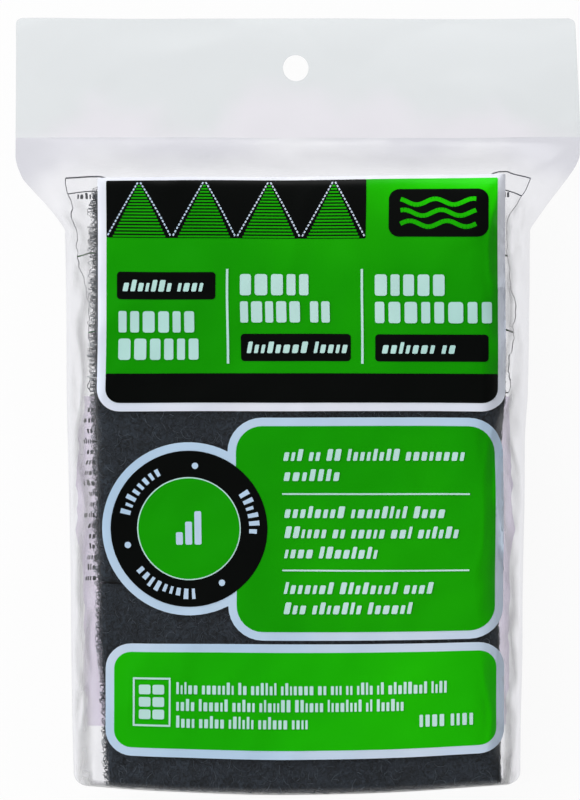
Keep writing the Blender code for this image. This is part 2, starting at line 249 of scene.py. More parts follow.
def film_height(x, y, side, inset=0.0):
    """Height of the film's outer face, or of a face that lies inset inside it."""
    off = off_pads(x, y, inset)
    to_edge = max(min(half_width(y) - inset - abs(x), SEAL - y, y - BAG_FOOT - inset), 0.0)
    share = 1 - (to_edge / (off + to_edge)) ** FLATTEN
    droop = HEADER_DROOP * (max(y - SEAL, 0.0) / (BAG_TOP - SEAL)) ** 2
    ripple = header_wave(x, y) * (FOLD_WAVE if y < SEAL else 1.0)
    edge = FOLD_HEIGHT - droop + ripple + side * (WELD - inset)
    flat = FRONT - inset + tight(x, y) * (1 - share) if side > 0 else inset
    return flat + (edge - flat) * share + slack(x, y, share, side)


# %% [markdown]
# A real bag isn't ruled with a straight edge. Its foot bows, because the pads at its corners give way
# more than those in the middle, its right side is pulled out a little, and the print wanders with the
# film. So every point of the flat layout, on the film, the print or the pads, goes through one small
# shift. The pull is a table of heights on the bag with the pull at each, and one of places across.


# %% Settling of the layout
BOW_FROM = -30 * MM
FOOT_DROP = 0.9 * MM
FOOT_RISE = 2.2 * MM
FOOT_TILT = 0.23 * MM
SAG_FROM = BLOCK_HEAD - 17 * MM
HEAD_SAG = 1.2 * MM
HEADER_LEAN = 0.35 * MM
HEADER_STRETCH = 0.5 * MM
WANDER = 0.22 * MM
PULL_ROWS = (BAG_FOOT, BLOCK_FOOT + 33 * MM, BLOCK_FOOT + 45 * MM, -8 * MM, 2 * MM)
PULLS = (0.9 * MM, 0.5 * MM, 0.1 * MM, 0.1 * MM, 1.0 * MM)
PULL_PLACES = (20 * MM, 40 * MM, 50 * MM, 53.5 * MM, 60 * MM)
PULL_SHARES = (0.0, 0.3, 1.0, 0.3, 0.8)


def settled(x, y):
    """Where a point of the flat layout comes to lie on the filled bag, seen from above."""
    low = max((BOW_FROM - y) / (BOW_FROM - BAG_FOOT), 0.0) ** 2
    across = x / BLOCK_HALF
    rise = low * (FOOT_RISE * across * across + FOOT_TILT * across) - low**3 * FOOT_DROP
    high = max(min((y - SAG_FROM) / (BLOCK_HEAD - SAG_FROM), (SEAL - y) / (SEAL - BLOCK_HEAD)), 0.0)
    rise -= HEAD_SAG * high * high * (1 - across) / 2
    up = max((y - SEAL) / (BAG_TOP - SEAL), 0.0)
    pull = float(np.interp(y, PULL_ROWS, PULLS) * np.interp(x, PULL_PLACES, PULL_SHARES)) * (1 - up)
    shift_x = pull - HEADER_LEAN * up + WANDER * soft(x, y, 40 * MM, 26 * MM, 11.5)
    shift_y = rise + HEADER_STRETCH * up + WANDER * soft(x, y, 31 * MM, 44 * MM, 17.5)
    return x + shift_x, y + shift_y


def on_film(x, y, lift=0.0, side=1):
    """The point of the film over a place of the flat layout, lifted off its outer face."""
    across, along = settled(x, y)
    return across, along, film_height(x, y, side) + side * lift


# %% [markdown]
# A material comes from what the surface is. Colours are given the way a paint chip gives them, as sRGB
# hex, and one function turns them into the linear numbers that light is worked out with. One small
# helper adds a node with its settings and links, so a material reads as a short list.


# %% Colour and node helpers
def linear(hex_colour):
    """The linear colour, with alpha, of an sRGB hex colour."""
    parts = [int(hex_colour[start : start + 2], 16) / 255 for start in (1, 3, 5)]
    return (*[part / 12.92 if part <= 0.04045 else ((part + 0.055) / 1.055) ** 2.4 for part in parts], 1.0)


def add(tree, kind, settings=None, **links):
    """A new node: settings are its properties or inputs, and links name what feeds an input."""
    node = tree.nodes.new(kind)
    for name, value in (settings or {}).items():
        if isinstance(name, str) and hasattr(node, name):
            setattr(node, name, value)
        else:
            node.inputs[name].default_value = value
    for name, source in links.items():
        target = node.inputs[int(name[1:])] if name[1:].isdigit() else node.inputs[name.replace("_", " ")]
        tree.links.new(source, target)
    return node


def new_material(name):
    """An empty material: its node tree and its output's surface socket."""
    material = bpy.data.materials.new(name)
    material.use_nodes = True
    tree = material.node_tree
    tree.nodes.clear()
    output = tree.nodes.new("ShaderNodeOutputMaterial")
    return material, tree, output.inputs["Surface"]


def new_piece(name, mesh, *materials):
    """An object for a mesh, in the scene and riding on the part's one body."""
    piece = bpy.data.objects.new(name, mesh)
    bpy.context.scene.collection.objects.link(piece)
    for material in materials:
        mesh.materials.append(material)
    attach(piece, "root")
    return piece


# %% [markdown]
# The bag is cast polypropylene film, about 40 micrometres thick. Such film is clear, with a trace of
# haze, and its two faces shine. It is far too thin to bend light, so it isn't built as glass: a
# Transparent shader lets the view through unbent. A mix with a Glossy shader adds the shine, which
# grows towards grazing angles as a fifth power, from the 4 percent of an index of 1.49. Where its two
# layers lie together, at the head, the film scatters more: it looks like pale grey milk against white.
# That milk has no sharp edge, so it comes in by degrees, along a cloudy front.


# %% Polypropylene film
HEAD_ON_SHINE = 0.04
FILM_ROUGHNESS = 0.32
HEADER_FADE = 13 * MM
CLOUD_REACH = 2.4 * HEADER_FADE
MILK = "#F4F5F8"


def polypropylene_film(name, tint, haze, header_tint, header_haze, fade_from):
    """Thin clear film. Tint is what one face lets through, and haze the share that it scatters.

    From the height fade_from up, both drift over to those of the header.
    """
    material, tree, surface = new_material(name)
    weight = add(tree, "ShaderNodeLayerWeight", {"Blend": 0.5})
    grazing = add(tree, "ShaderNodeMath", {"operation": "POWER", 1: 5.0}, _0=weight.outputs["Facing"])
    shine_range = {"To Min": HEAD_ON_SHINE, "To Max": 1.0}
    shine = add(tree, "ShaderNodeMapRange", shine_range, Value=grazing.outputs[0])
    place = add(tree, "ShaderNodeTexCoord")
    cloud = add(tree, "ShaderNodeTexNoise", {"Scale": 38.0, "Detail": 2.0}, Vector=place.outputs["Object"])
    apart = add(tree, "ShaderNodeSeparateXYZ", Vector=place.outputs["Object"])
    drift = {"operation": "MULTIPLY_ADD", 1: CLOUD_REACH}
    height = add(tree, "ShaderNodeMath", drift, _0=cloud.outputs["Fac"], _2=apart.outputs["Y"])
    aside = add(tree, "ShaderNodeMath", {"operation": "ABSOLUTE"}, _0=apart.outputs["X"])
    beside = {"From Min": BLOCK_HALF, "From Max": HEADER_HALF, "To Max": HEADER_FADE}
    lower = add(tree, "ShaderNodeMapRange", beside, Value=aside.outputs[0])
    reach = add(tree, "ShaderNodeMath", {"operation": "ADD"}, _0=height.outputs[0], _1=lower.outputs[0])
    fade = {"interpolation_type": "SMOOTHSTEP", "From Min": fade_from, "From Max": fade_from + HEADER_FADE}
    header = add(tree, "ShaderNodeMapRange", fade, Value=reach.outputs[0])
    tints = add(tree, "ShaderNodeMix", {"data_type": "RGBA", 6: linear(tint), 7: linear(header_tint)})
    tree.links.new(header.outputs[0], tints.inputs[0])
    hazes = add(tree, "ShaderNodeMapRange", {"To Min": haze, "To Max": header_haze}, Value=header.outputs[0])
    clear = add(tree, "ShaderNodeBsdfTransparent", Color=tints.outputs[2])
    milk = add(tree, "ShaderNodeBsdfDiffuse", {"Color": linear(MILK)})
    glow = add(tree, "ShaderNodeBsdfTranslucent", {"Color": linear(MILK)})
    scatter = add(tree, "ShaderNodeMixShader", {0: 0.5}, _1=milk.outputs[0], _2=glow.outputs[0])
    body = add(tree, "ShaderNodeMixShader", _0=hazes.outputs[0], _1=clear.outputs[0], _2=scatter.outputs[0])
    ripple = add(tree, "ShaderNodeTexNoise", {"Scale": 260.0, "Detail": 3.0}, Vector=place.outputs["Object"])
    dent = {"Strength": 0.25, "Distance": 0.15 * MM}
    bump = add(tree, "ShaderNodeBump", dent, Height=ripple.outputs["Fac"])
    gloss = add(tree, "ShaderNodeBsdfGlossy", {"Roughness": FILM_ROUGHNESS}, Normal=bump.outputs[0])
    whole = add(tree, "ShaderNodeMixShader", _0=shine.outputs[0], _1=body.outputs[0], _2=gloss.outputs[0])
    tree.links.new(whole.outputs[0], surface)
    return material


clear_from = BLOCK_HEAD + 1.2 * HEADER_FADE
welded_from = SEAL + 1.4 * HEADER_FADE
clear_film = polypropylene_film("cast_polypropylene_film", "#FEFEFF", 0.004, "#FAFAFC", 0.014, clear_from)
welded_film = polypropylene_film("welded_polypropylene_film", "#FAF9FC", 0.04, "#F6F8F9", 0.06, welded_from)

# %% [markdown]
# The film is a mesh of even cells over the pads, with finer ones where it bends or is creased. Its
# front and back sheets share one layout, so they join along every open edge: round the outside, and
# round the hang hole. The hole is cut by leaving out the cells inside it and drawing the ragged edge
# on to a circle. The pocket inside is a second, smaller skin with its faces turned in, which gives the
# film its thickness.

# %% Lines of the film's mesh
CELL = 1.6 * MM
FINE_CELL = 0.85 * MM
FOOT_CELL = 0.5 * MM
SLOPE_CELLS = 12
CORE_HALF = BLOCK_HALF + SEAT
NEAR_HOLE = 4.8 * MM
NEAR_SIDE = CORE_HALF - 6 * MM
FOOT_ROWS_END = BAG_FOOT + 4 * MM
FINE_ROWS_FROM = WAIST - 8 * MM


def steps(low, high, size):
    """Places from low to high, in equal steps of about the given size, without the last."""
    count = max(round((high - low) / size), 1)
    return [low + (high - low) * step / count for step in range(count)]


core_places = (
    steps(-CORE_HALF, -NEAR_SIDE, FINE_CELL)
    + steps(-NEAR_SIDE, -NEAR_HOLE, CELL)
    + steps(-NEAR_HOLE, NEAR_HOLE, FINE_CELL)
    + steps(NEAR_HOLE, NEAR_SIDE, CELL)
    + steps(NEAR_SIDE, CORE_HALF, FINE_CELL)
    + [CORE_HALF]
)
row_places = (
    steps(BAG_FOOT, FOOT_ROWS_END, FOOT_CELL)
    + steps(FOOT_ROWS_END, FINE_ROWS_FROM, CELL)
    + steps(FINE_ROWS_FROM, SEAL, FINE_CELL)
    + steps(SEAL, HOLE_Y - NEAR_HOLE, CELL)
    + steps(HOLE_Y - NEAR_HOLE, HOLE_Y + NEAR_HOLE, FINE_CELL)
    + steps(HOLE_Y + NEAR_HOLE, BAG_TOP - HEADER_CORNER, CELL)
    + steps(BAG_TOP - HEADER_CORNER, BAG_TOP, HEADER_CORNER / 4)
    + [BAG_TOP]
)
slope_shares = [step / SLOPE_CELLS for step in range(1, SLOPE_CELLS + 1)]
print("film lines:", len(core_places) + 2 * SLOPE_CELLS, "by", len(row_places))


# %% The film's mesh
def film_places(inset, rows):
    """The points of one sheet in the flat layout, row by row."""
    core = CORE_HALF - inset
    shrink = core / CORE_HALF
    places = []
    for y in rows:
        edge = half_width(y) - inset
        outer = [core + (edge - core) * share for share in slope_shares]
        places.append([-x for x in reversed(outer)] + [x * shrink for x in core_places] + outer)
    return places


def sheet_faces(places, rows):
    """The cells of a sheet as lists of four corners, without those inside the hang hole."""
    across = len(places[0])
    faces = []
    for row in range(len(rows) - 1):
        for column in range(across - 1):
            corner = row * across + column
            x = (places[row][column] + places[row + 1][column + 1]) / 2
            y = (rows[row] + rows[row + 1]) / 2
            if math.hypot(x, y - HOLE_Y) > HOLE_RADIUS:
                faces.append((corner, corner + 1, corner + 1 + across, corner + across))
    return faces


def open_edges(faces):
    """The edges that only one cell has, each in that cell's direction."""
    edges = {(face[turn], face[(turn + 1) % 4]) for face in faces for turn in range(4)}
    return [edge for edge in edges if edge[::-1] not in edges]


def skin(inset, rows):
    """The points and faces of one closed skin, front and back."""
    places = film_places(inset, rows)
    flat = [(x, y) for y, row in zip(rows, places) for x in row]
    faces = sheet_faces(places, rows)
    rim = open_edges(faces)
    for corner in {corner for edge in rim for corner in edge}:
        x, y = flat[corner]
        away = math.hypot(x, y - HOLE_Y)
        if away < 2 * HOLE_RADIUS:
            flat[corner] = (x * HOLE_RADIUS / away, HOLE_Y + (y - HOLE_Y) * HOLE_RADIUS / away)
    points = []
    for side in (1, -1):
        for x, y in flat:
            points.append((*settled(x, y), film_height(x, y, side, inset)))
    count = len(flat)
    back = [tuple(corner + count for corner in reversed(face)) for face in faces]
    joins = [(end, start, start + count, end + count) for start, end in sorted(rim)]
    return points, faces + back + joins


outer_points, outer_faces = skin(0.0, row_places)
inner_rows = [y for y in row_places if BAG_FOOT + 2 * FILM < y < SEAL - FILM / 2]
pocket_points, pocket_faces = skin(FILM, [BAG_FOOT + FILM, *inner_rows, SEAL])
shift = len(outer_points)
turned_in = [tuple(corner + shift for corner in reversed(face)) for face in pocket_faces]
film_mesh = bpy.data.meshes.new("film")
film_mesh.from_pydata(outer_points + pocket_points, [], outer_faces + turned_in)
print("points of the two skins:", len(outer_points), "and", len(pocket_points))

# %% [markdown]
# A filled bag has a vent, or it would burst in a press of boxes. This one is a small round hole in the
# back film near the foot. The cells near its middle are taken out of both skins, the two ragged rims
# are drawn on to circles, and a band of faces joins them, so that the film stays one closed solid.

# %% The vent, and the film as a piece
vent = bmesh.new()
vent.from_mesh(film_mesh)
near_vent = []
for face in vent.faces:
    x, y, z = face.calc_center_median()
    if z < FOLD_HEIGHT / 2 and math.hypot(x, y - VENT_Y) < VENT_RADIUS:
        near_vent.append(face)
bmesh.ops.delete(vent, geom=near_vent, context="FACES")
vent_rims = [edge for edge in vent.edges if edge.is_boundary]
for point in {point for edge in vent_rims for point in edge.verts}:
    away = math.hypot(point.co.x, point.co.y - VENT_Y)
    point.co.x *= VENT_RADIUS / away
    point.co.y = VENT_Y + (point.co.y - VENT_Y) * VENT_RADIUS / away
bmesh.ops.bridge_loops(vent, edges=vent_rims)
bmesh.ops.recalc_face_normals(vent, faces=vent.faces[:])
print("open edges of the film:", sum(not edge.is_manifold for edge in vent.edges))
vent.to_mesh(film_mesh)
vent.free()
film_mesh.shade_smooth()
film_mesh.set_sharp_from_angle(angle=math.radians(60))
film = new_piece("film_bag", film_mesh, clear_film, welded_film)
for polygon in film_mesh.polygons:
    polygon.material_index = 1 if polygon.center.y > SEAL else 0
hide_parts("bag")
print("film faces:", len(film_mesh.polygons))

# %% [markdown]
# The print is flexographic ink on the film's front: flat fields of colour on a white ground. Each field
# is a flat outline, cut along the same lines as the film's mesh and then laid on the film, so it takes
# every ripple. Near the sides, where the film bends away, the cuts lie closer. The layers lie a few
# hundredths of a millimetre apart, far more than real ink but too little to see.

# %% Outlines for the print
CORNER_STEPS = 8


def arc(x, y, radius, start, end, count):
    """Points along an arc, from one angle to another in degrees."""
    angles = [math.radians(start + (end - start) * step / count) for step in range(count + 1)]
    return [(x + radius * math.cos(angle), y + radius * math.sin(angle)) for angle in angles]


def round_box(left, right, foot, head, foot_corner, head_corner=None, count=CORNER_STEPS):
    """A rectangle with round corners, anticlockwise."""
    top = foot_corner if head_corner is None else head_corner
    corners = (
        (right - foot_corner, foot + foot_corner, foot_corner, -90),
        (right - top, head - top, top, 0),
        (left + top, head - top, top, 90),
        (left + foot_corner, foot + foot_corner, foot_corner, 180),
    )
    points = []
    for x, y, radius, start in corners:
        points += arc(x, y, radius, start, start + 90, count)
    return points


def sector(x, y, inner, outer, start, end, count):
    """A piece of a ring between two angles, anticlockwise."""
    return arc(x, y, outer, start, end, count) + arc(x, y, inner, end, start, count)


def ribbon(points, width):
    """A line of some width through the points, as one box for each stretch."""
    boxes = []
    for (x, y), (next_x, next_y) in zip(points, points[1:]):
        length = math.hypot(next_x - x, next_y - y)
        side_x, side_y = (next_y - y) / length * width / 2, (x - next_x) / length * width / 2
        boxes.append(
            [
                (x + side_x, y + side_y),
                (next_x + side_x, next_y + side_y),
                (next_x - side_x, next_y - side_y),
                (x - side_x, y - side_y),
            ]
        )
    return boxes


# %% Laying ink on the film
INK_LIFT = 0.05 * MM
INK_STEP = 0.05 * MM
INK = 0.02 * MM
GROUND, COLOUR, BLACK, OVERPRINT, MARKS = range(5)
slope_columns = steps(CORE_HALF + FINE_CELL, HEADER_HALF - 8 * MM, FINE_CELL)
bend_columns = steps(BLOCK_HALF - 9 * MM, CORE_HALF, CELL / 4)
ink_columns = [-x for x in slope_columns + bend_columns] + core_places + bend_columns + slope_columns


def cut_along(shape, places, axis):
    """Cut a shape across one axis, at each of the places that lie inside it."""
    normal = [float(axis == other) for other in range(3)]
    low = min(point.co[axis] for point in shape.verts)
    high = max(point.co[axis] for point in shape.verts)
    for place in places:
        if low < place < high:
            everything = shape.verts[:] + shape.edges[:] + shape.faces[:]
            origin = [place * part for part in normal]
            bmesh.ops.bisect_plane(shape, geom=everything, dist=1e-8, plane_co=origin, plane_no=normal)


def thickened(shape, depth):
    """Turn a sheet of faces into a thin closed plate, by lifting a copy of it."""
    everything = shape.verts[:] + shape.edges[:] + shape.faces[:]
    lifted = bmesh.ops.extrude_face_region(shape, geom=everything, use_keep_orig=True)
    for part in lifted["geom"]:
        if isinstance(part, bmesh.types.BMVert):
            part.co.z += depth
    bmesh.ops.recalc_face_normals(shape, faces=shape.faces[:])


def printed(name, outlines, layer, material, nodes=(), lay=on_film):
    """Fields of ink laid on the film, standing for the given nodes of the frame."""
    shape = bmesh.new()
    for outline in outlines:
        shape.faces.new([shape.verts.new((x, y, 0.0)) for x, y in outline])
    bmesh.ops.remove_doubles(shape, verts=shape.verts[:], dist=1e-6)
    cut_along(shape, ink_columns, 0)
    cut_along(shape, row_places, 1)
    for point in shape.verts:
        point.co = lay(point.co.x, point.co.y, INK_LIFT + INK_STEP * layer)
    thickened(shape, INK)
    mesh = bpy.data.meshes.new(name)
    shape.to_mesh(mesh)
    shape.free()
    mesh.shade_smooth()
    mesh.set_sharp_from_angle(angle=math.radians(40))
    piece = new_piece(name, mesh, material)
    if nodes:
        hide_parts(*nodes)


# %% [markdown]
# Printing ink on film is smooth and a little shiny, with an index near 1.5. Its colour isn't quite
# even: the plate lays down slightly more ink here and less there, and where nothing dark lies behind
# the film more light comes back through it. A slow noise stands for the first. The second is painted
# light: the green has a painted brighter patch at the head on the right, where the film stands off the
# pads, and the ground of the head panel and the green of the foot panel are lit copies of their inks,
# mixed a little lighter.


# %% Flexographic ink
# Where the painted highlight on the green ink lies: towards the head, and towards the right.
GLOW_ALONG = (BLOCK_HEAD - 17 * MM, BLOCK_HEAD)
GLOW_ACROSS = (6 * MM, BLOCK_HALF - 2 * MM)


def flexographic_ink(name, colour, light, dark, roughness, glow=None):
    """Ink of one colour, which drifts between a lighter and a darker mix. Glow is the colour of a painted
    highlight in its corner.
    """
    material, tree, surface = new_material(name)
    place = add(tree, "ShaderNodeTexCoord")
    drift = add(tree, "ShaderNodeTexNoise", {"Scale": 14.0, "Detail": 4.0}, Vector=place.outputs["Object"])
    ramp = add(tree, "ShaderNodeValToRGB", Fac=drift.outputs["Fac"])
    ramp.color_ramp.elements[0].position = 0.3
    ramp.color_ramp.elements[0].color = linear(dark)
    ramp.color_ramp.elements[1].position = 0.7
    ramp.color_ramp.elements[1].color = linear(light)
    middle = ramp.color_ramp.elements.new(0.5)
    middle.color = linear(colour)
    colour_source = ramp.outputs["Color"]
    if glow:
        apart = add(tree, "ShaderNodeSeparateXYZ", Vector=place.outputs["Object"])
        corner = add(tree, "ShaderNodeMath", {"operation": "MULTIPLY"})
        for number, (axis, (low, high)) in enumerate((("Y", GLOW_ALONG), ("X", GLOW_ACROSS))):
            rising = {"interpolation_type": "SMOOTHSTEP", "From Min": low, "From Max": high}
            towards = add(tree, "ShaderNodeMapRange", rising, Value=apart.outputs[axis])
            tree.links.new(towards.outputs[0], corner.inputs[number])
        lit = add(tree, "ShaderNodeMix", {"data_type": "RGBA", 7: linear(glow)})
        tree.links.new(corner.outputs[0], lit.inputs[0])
        tree.links.new(colour_source, lit.inputs[6])
        colour_source = lit.outputs[2]
    grain = add(tree, "ShaderNodeTexNoise", {"Scale": 900.0, "Detail": 2.0}, Vector=place.outputs["Object"])
    dent = {"Strength": 0.08, "Distance": 0.05 * MM}
    bump = add(tree, "ShaderNodeBump", dent, Height=grain.outputs["Fac"])
    shader = add(
        tree,
        "ShaderNodeBsdfPrincipled",
        {"Roughness": roughness, "IOR": 1.5, "Specular IOR Level": 0.18},
        Base_Color=colour_source,
        Normal=bump.outputs[0],
    )
    tree.links.new(shader.outputs[0], surface)
    return material


white_ink = flexographic_ink("white_ground_ink", "#C2DAF1", "#DCE6F6", "#B0D0EC", 0.32)
# Painted light: the white ground mixed lighter at the head, for light that comes back through the film.
head_ink_painted_lighter = flexographic_ink("white_head_ground_ink", "#ECEFFA", "#F4F6FD", "#DCE6F6", 0.32)
# Painted light: the green mixed lighter at the foot, for light that comes back through the film.
foot_ink_painted_lighter = flexographic_ink("green_foot_field_ink", "#1AB600", "#20C200", "#15A800", 0.30)
# The green carries a painted highlight, the glow colour, at the head on the right.
green_ink = flexographic_ink("green_field_ink", "#149F00", "#1CAF00", "#109400", 0.30, glow="#26EC00")
black_ink = flexographic_ink("black_field_ink", "#080A09", "#0B0D0C", "#060807", 0.30)
pale_ink = flexographic_ink("pale_mark_ink", "#C4EAE4", "#D2F0EC", "#B4E2DC", 0.32)

# %% [markdown]
# The ground on the back is a single thin pass of white. Held up to the light it is milky: most of the
# light goes through it, and about a tenth is scattered. So it is a mix of a Transparent shader, which
# lets the table show, and a Translucent and a Diffuse one, which carry the ink's own colour.


# %% Thin white ink
UNEVEN = 0.1


def thin_ink(name, colour, cover):
    """A milky pass of ink that covers only a share of what lies behind it."""
    material, tree, surface = new_material(name)
    place = add(tree, "ShaderNodeTexCoord")
    drift = add(tree, "ShaderNodeTexNoise", {"Scale": 60.0, "Detail": 3.0}, Vector=place.outputs["Object"])
    covers = {"To Min": cover - UNEVEN, "To Max": cover + UNEVEN}
    amount = add(tree, "ShaderNodeMapRange", covers, Value=drift.outputs["Fac"])
    clear = add(tree, "ShaderNodeBsdfTransparent", {"Color": linear("#F6F2F9")})
    front = add(tree, "ShaderNodeBsdfDiffuse", {"Color": linear(colour)})
    through = add(tree, "ShaderNodeBsdfTranslucent", {"Color": linear(colour)})
    milk = add(tree, "ShaderNodeMixShader", {0: 0.5}, _1=front.outputs[0], _2=through.outputs[0])
    whole = add(tree, "ShaderNodeMixShader", _0=amount.outputs[0], _1=clear.outputs[0], _2=milk.outputs[0])
    tree.links.new(whole.outputs[0], surface)
    return material


# %% [markdown]
# The three panels follow the layout of the frame: each field's box comes from the frame's own node, so
# the ink lies where the part says. The lowest layer is the white ground, then green, then black, then
# what is printed over the black, and the pale marks on top.

# %% Panels
head_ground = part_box("white_panel_head")
middle_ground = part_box("white_panel_middle")
foot_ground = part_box("white_panel_foot")
head_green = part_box("green_panel_head")
middle_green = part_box("green_panel_middle")
foot_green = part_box("green_panel_foot")
ring_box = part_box("grade_ring")
disc_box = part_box("grade_disc")
RING_X = (ring_box[0].x + ring_box[1].x) / 2
RING_Y = (ring_box[0].y + ring_box[1].y) / 2
RING_RADIUS = (ring_box[1].x - ring_box[0].x) / 2
DISC_RADIUS = (disc_box[1].x - disc_box[0].x) / 2
RING_GROUND = RING_X - middle_ground[0].x
PANEL_CORNER = 6.3 * MM
MIDDLE_CORNER = 8.6 * MM
HEAD_CORNER = 5.6 * MM
OUTLINE = 2.1 * MM
SQUARE = 0.4 * MM


def boxed(corners, foot_corner, head_corner=None):
    """The outline of a round-cornered field that fills a node's box."""
    low, high = corners
    return round_box(low.x, high.x, low.y, high.y, foot_corner, head_corner)


def middle_outline():
    """The middle panel's ground: a round-cornered box joined to the disc under the ring."""
    low, high = middle_ground
    side = middle_green[0].x - OUTLINE
    turn = math.degrees(math.acos((side - RING_X) / RING_GROUND))
    box = round_box(side, high.x, low.y, high.y, MIDDLE_CORNER)
    half_way = 2 * (CORNER_STEPS + 1)
    before, after = box[:half_way], box[half_way:]
    head_left, foot_left = after[: CORNER_STEPS + 1], after[CORNER_STEPS + 1 :]
    circle = arc(RING_X, RING_Y, RING_GROUND, turn, 360 - turn, 48)
    return before + head_left + circle + foot_left


for row, outline, ink in (
    ("head", boxed(head_ground, HEAD_CORNER, SQUARE), head_ink_painted_lighter),
    ("middle", middle_outline(), white_ink),
    ("foot", boxed(foot_ground, PANEL_CORNER), white_ink),
):
    printed(f"ground_{row}", [outline], GROUND, ink, [f"white_panel_{row}"])
for row, outline, ink in (
    ("head", boxed(head_green, HEAD_CORNER - OUTLINE, SQUARE), green_ink),
    ("middle", boxed(middle_green, MIDDLE_CORNER - OUTLINE), green_ink),
    ("foot", boxed(foot_green, PANEL_CORNER - OUTLINE), foot_ink_painted_lighter),
):
    printed(f"green_{row}", [outline], COLOUR, ink, [f"green_panel_{row}"])
print("head panel in mm:", [round(side / MM, 1) for side in head_ground[1] - head_ground[0]])

# %% Black fields and the ring
RING_PIECES = 72
RING_WIDTH = 6.6 * MM
HAIRLINE = 0.35 * MM
LABEL_CORNER = 0.9 * MM
ring_hole = RING_RADIUS - RING_WIDTH
turns = [360 * step / RING_PIECES for step in range(RING_PIECES + 1)]


def hoop(inner, outer):
    """A whole ring round the grade disc, as a chain of short sectors."""
    return [sector(RING_X, RING_Y, inner, outer, start, end, 1) for start, end in zip(turns, turns[1:])]


disc_outline = arc(RING_X, RING_Y, DISC_RADIUS, 0, 360, RING_PIECES)[:-1]
printed("ring", hoop(ring_hole, RING_RADIUS), BLACK, black_ink, ["grade_ring"])
printed("disc", [disc_outline], OVERPRINT, green_ink, ["grade_disc"])
printed("ring_hairline", hoop(ring_hole - HAIRLINE, ring_hole), BLACK, pale_ink)
label_boxes = {column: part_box(f"label_{column}") for column in ("left", "middle", "right")}
black_fields = [
    ("band", "black_band", boxed(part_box("black_band"), HEAD_CORNER - OUTLINE, SQUARE)),
    ("strip", "pattern_strip", boxed(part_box("pattern_strip"), SQUARE)),
]
for column, corners in label_boxes.items():
    black_fields.append((f"label_{column}_ink", f"label_{column}", boxed(corners, LABEL_CORNER)))
for name, node, outline in black_fields:
    printed(name, [outline], BLACK, black_ink, [node])
print("black fields:", len(black_fields), "ring radius in mm:", round(RING_RADIUS / MM, 1))

# %% [markdown]
# Lines of type make a printed pack look printed, and layout artists draw them before there is a text.
# They call it greeking: small blocks in word-like groups have the rhythm, weight and slant of type,
# and say nothing. Each block is as tall as a small letter, and now and then one is as tall as a
# capital. The draw of widths has a fixed seed, so it is the same each time.

# %% Greeked type
CAPITAL = 1.36
WORD_SPACE = 1.6
FINE_PRINT = 1.6 * MM


def block(x, foot, width, height, slant):
    """One letter-sized block with rounded corners, leaning to the right."""
    corner = min(width, height) * 0.2
    corner_steps = 2 if height > FINE_PRINT else 1
    outline = round_box(x, x + width, foot, foot + height, corner, count=corner_steps)
    return [(across + slant * (along - foot), along) for across, along in outline]


def type_row(left, right, foot, small, letter, seed, slant=0.0, tall=0.3, weight=0.62):
    """A line of blocks that fills left to right, small high, in groups like words."""
    draw = np.random.default_rng(seed)
    count = max(round((right - left) / letter / 1.12), 2)
    widths = draw.uniform(weight - 0.2, weight + 0.2, count)
    gaps = np.full(count, 1 - weight)
    word_end = draw.integers(3, 9)
    while word_end < count - 1:
        gaps[word_end - 1] = WORD_SPACE - weight
        word_end += draw.integers(2, 9)
    unit = (right - left) / (widths.sum() + gaps[:-1].sum())
    blocks = []
    x = left
    for width, gap in zip(widths * unit, gaps * unit):
        height = small * (CAPITAL if draw.random() < tall else 1.0)
        blocks.append(block(x, foot, width, height, slant))
        x += width + gap
    return blocks


def heading(left, right, foot, seed):
    """A line of large capitals, greeked: one word or two, with even tops."""
    return type_row(left, right, foot, HEADING_HEIGHT, HEADING_LETTER, seed, tall=0.0, weight=0.74)


def rule(left, right, y, width):
    """A straight line across, as one thin box."""
    return [(left, y - width / 2), (right, y - width / 2), (right, y + width / 2), (left, y + width / 2)]


# %% Marks on the head panel
HEADING_HEIGHT = 5.3 * MM
HEADING_LETTER = 3.0 * MM
HEADING_PITCH = 6.8 * MM
PILL_SMALL = 2.1 * MM
PILL_LETTER = 1.7 * MM
PILL_FOOT = 2.0 * MM
SLANT = 0.2
COLUMN_RULE = 0.6 * MM
COLUMN_RULE_LENGTH = 23.6 * MM
LEFT_HEADINGS_DOWN = 8.2 * MM
HEADINGS_UP = 9.6 * MM
LABEL_TYPE = (("left", 1.4, 20.0, 21), ("middle", 1.4, 24.8, 22), ("right", 1.6, 17.6, 23))
heading_rows = []
pill_rows = []
column_rules = []
left_low = label_boxes["left"][0]
for row, (right, seed) in enumerate(((19.4, 3), (20.4, 5))):
    foot = left_low.y - LEFT_HEADINGS_DOWN - row * HEADING_PITCH
    heading_rows += heading(left_low.x + 0.4 * MM, left_low.x + right * MM, foot, seed)
for column, widths, seeds in (("middle", (17.0, 22.2), (7, 8)), ("right", (17.0, 28.0), (9, 11))):
    low, high = label_boxes[column]
    for row, (width, seed) in enumerate(zip(widths, seeds)):
        foot = high.y + HEADINGS_UP - row * HEADING_PITCH
        heading_rows += heading(low.x, low.x + width * MM, foot, seed)
    x = low.x - 3.2 * MM
    foot = low.y - 0.6 * MM
    column_rules += ribbon([(x, foot), (x, foot + COLUMN_RULE_LENGTH)], COLUMN_RULE)
for column, inset, length, seed in LABEL_TYPE:
    low = label_boxes[column][0]
    start = low.x + inset * MM
    end = start + length * MM
    pill_rows += type_row(start, end, low.y + PILL_FOOT, PILL_SMALL, PILL_LETTER, seed, SLANT)
printed("heading_rows", heading_rows, MARKS, pale_ink)
printed("label_rows", pill_rows, MARKS, pale_ink)
printed("column_rules", column_rules, MARKS, pale_ink)
print("heading blocks", len(heading_rows), "label blocks", len(pill_rows))

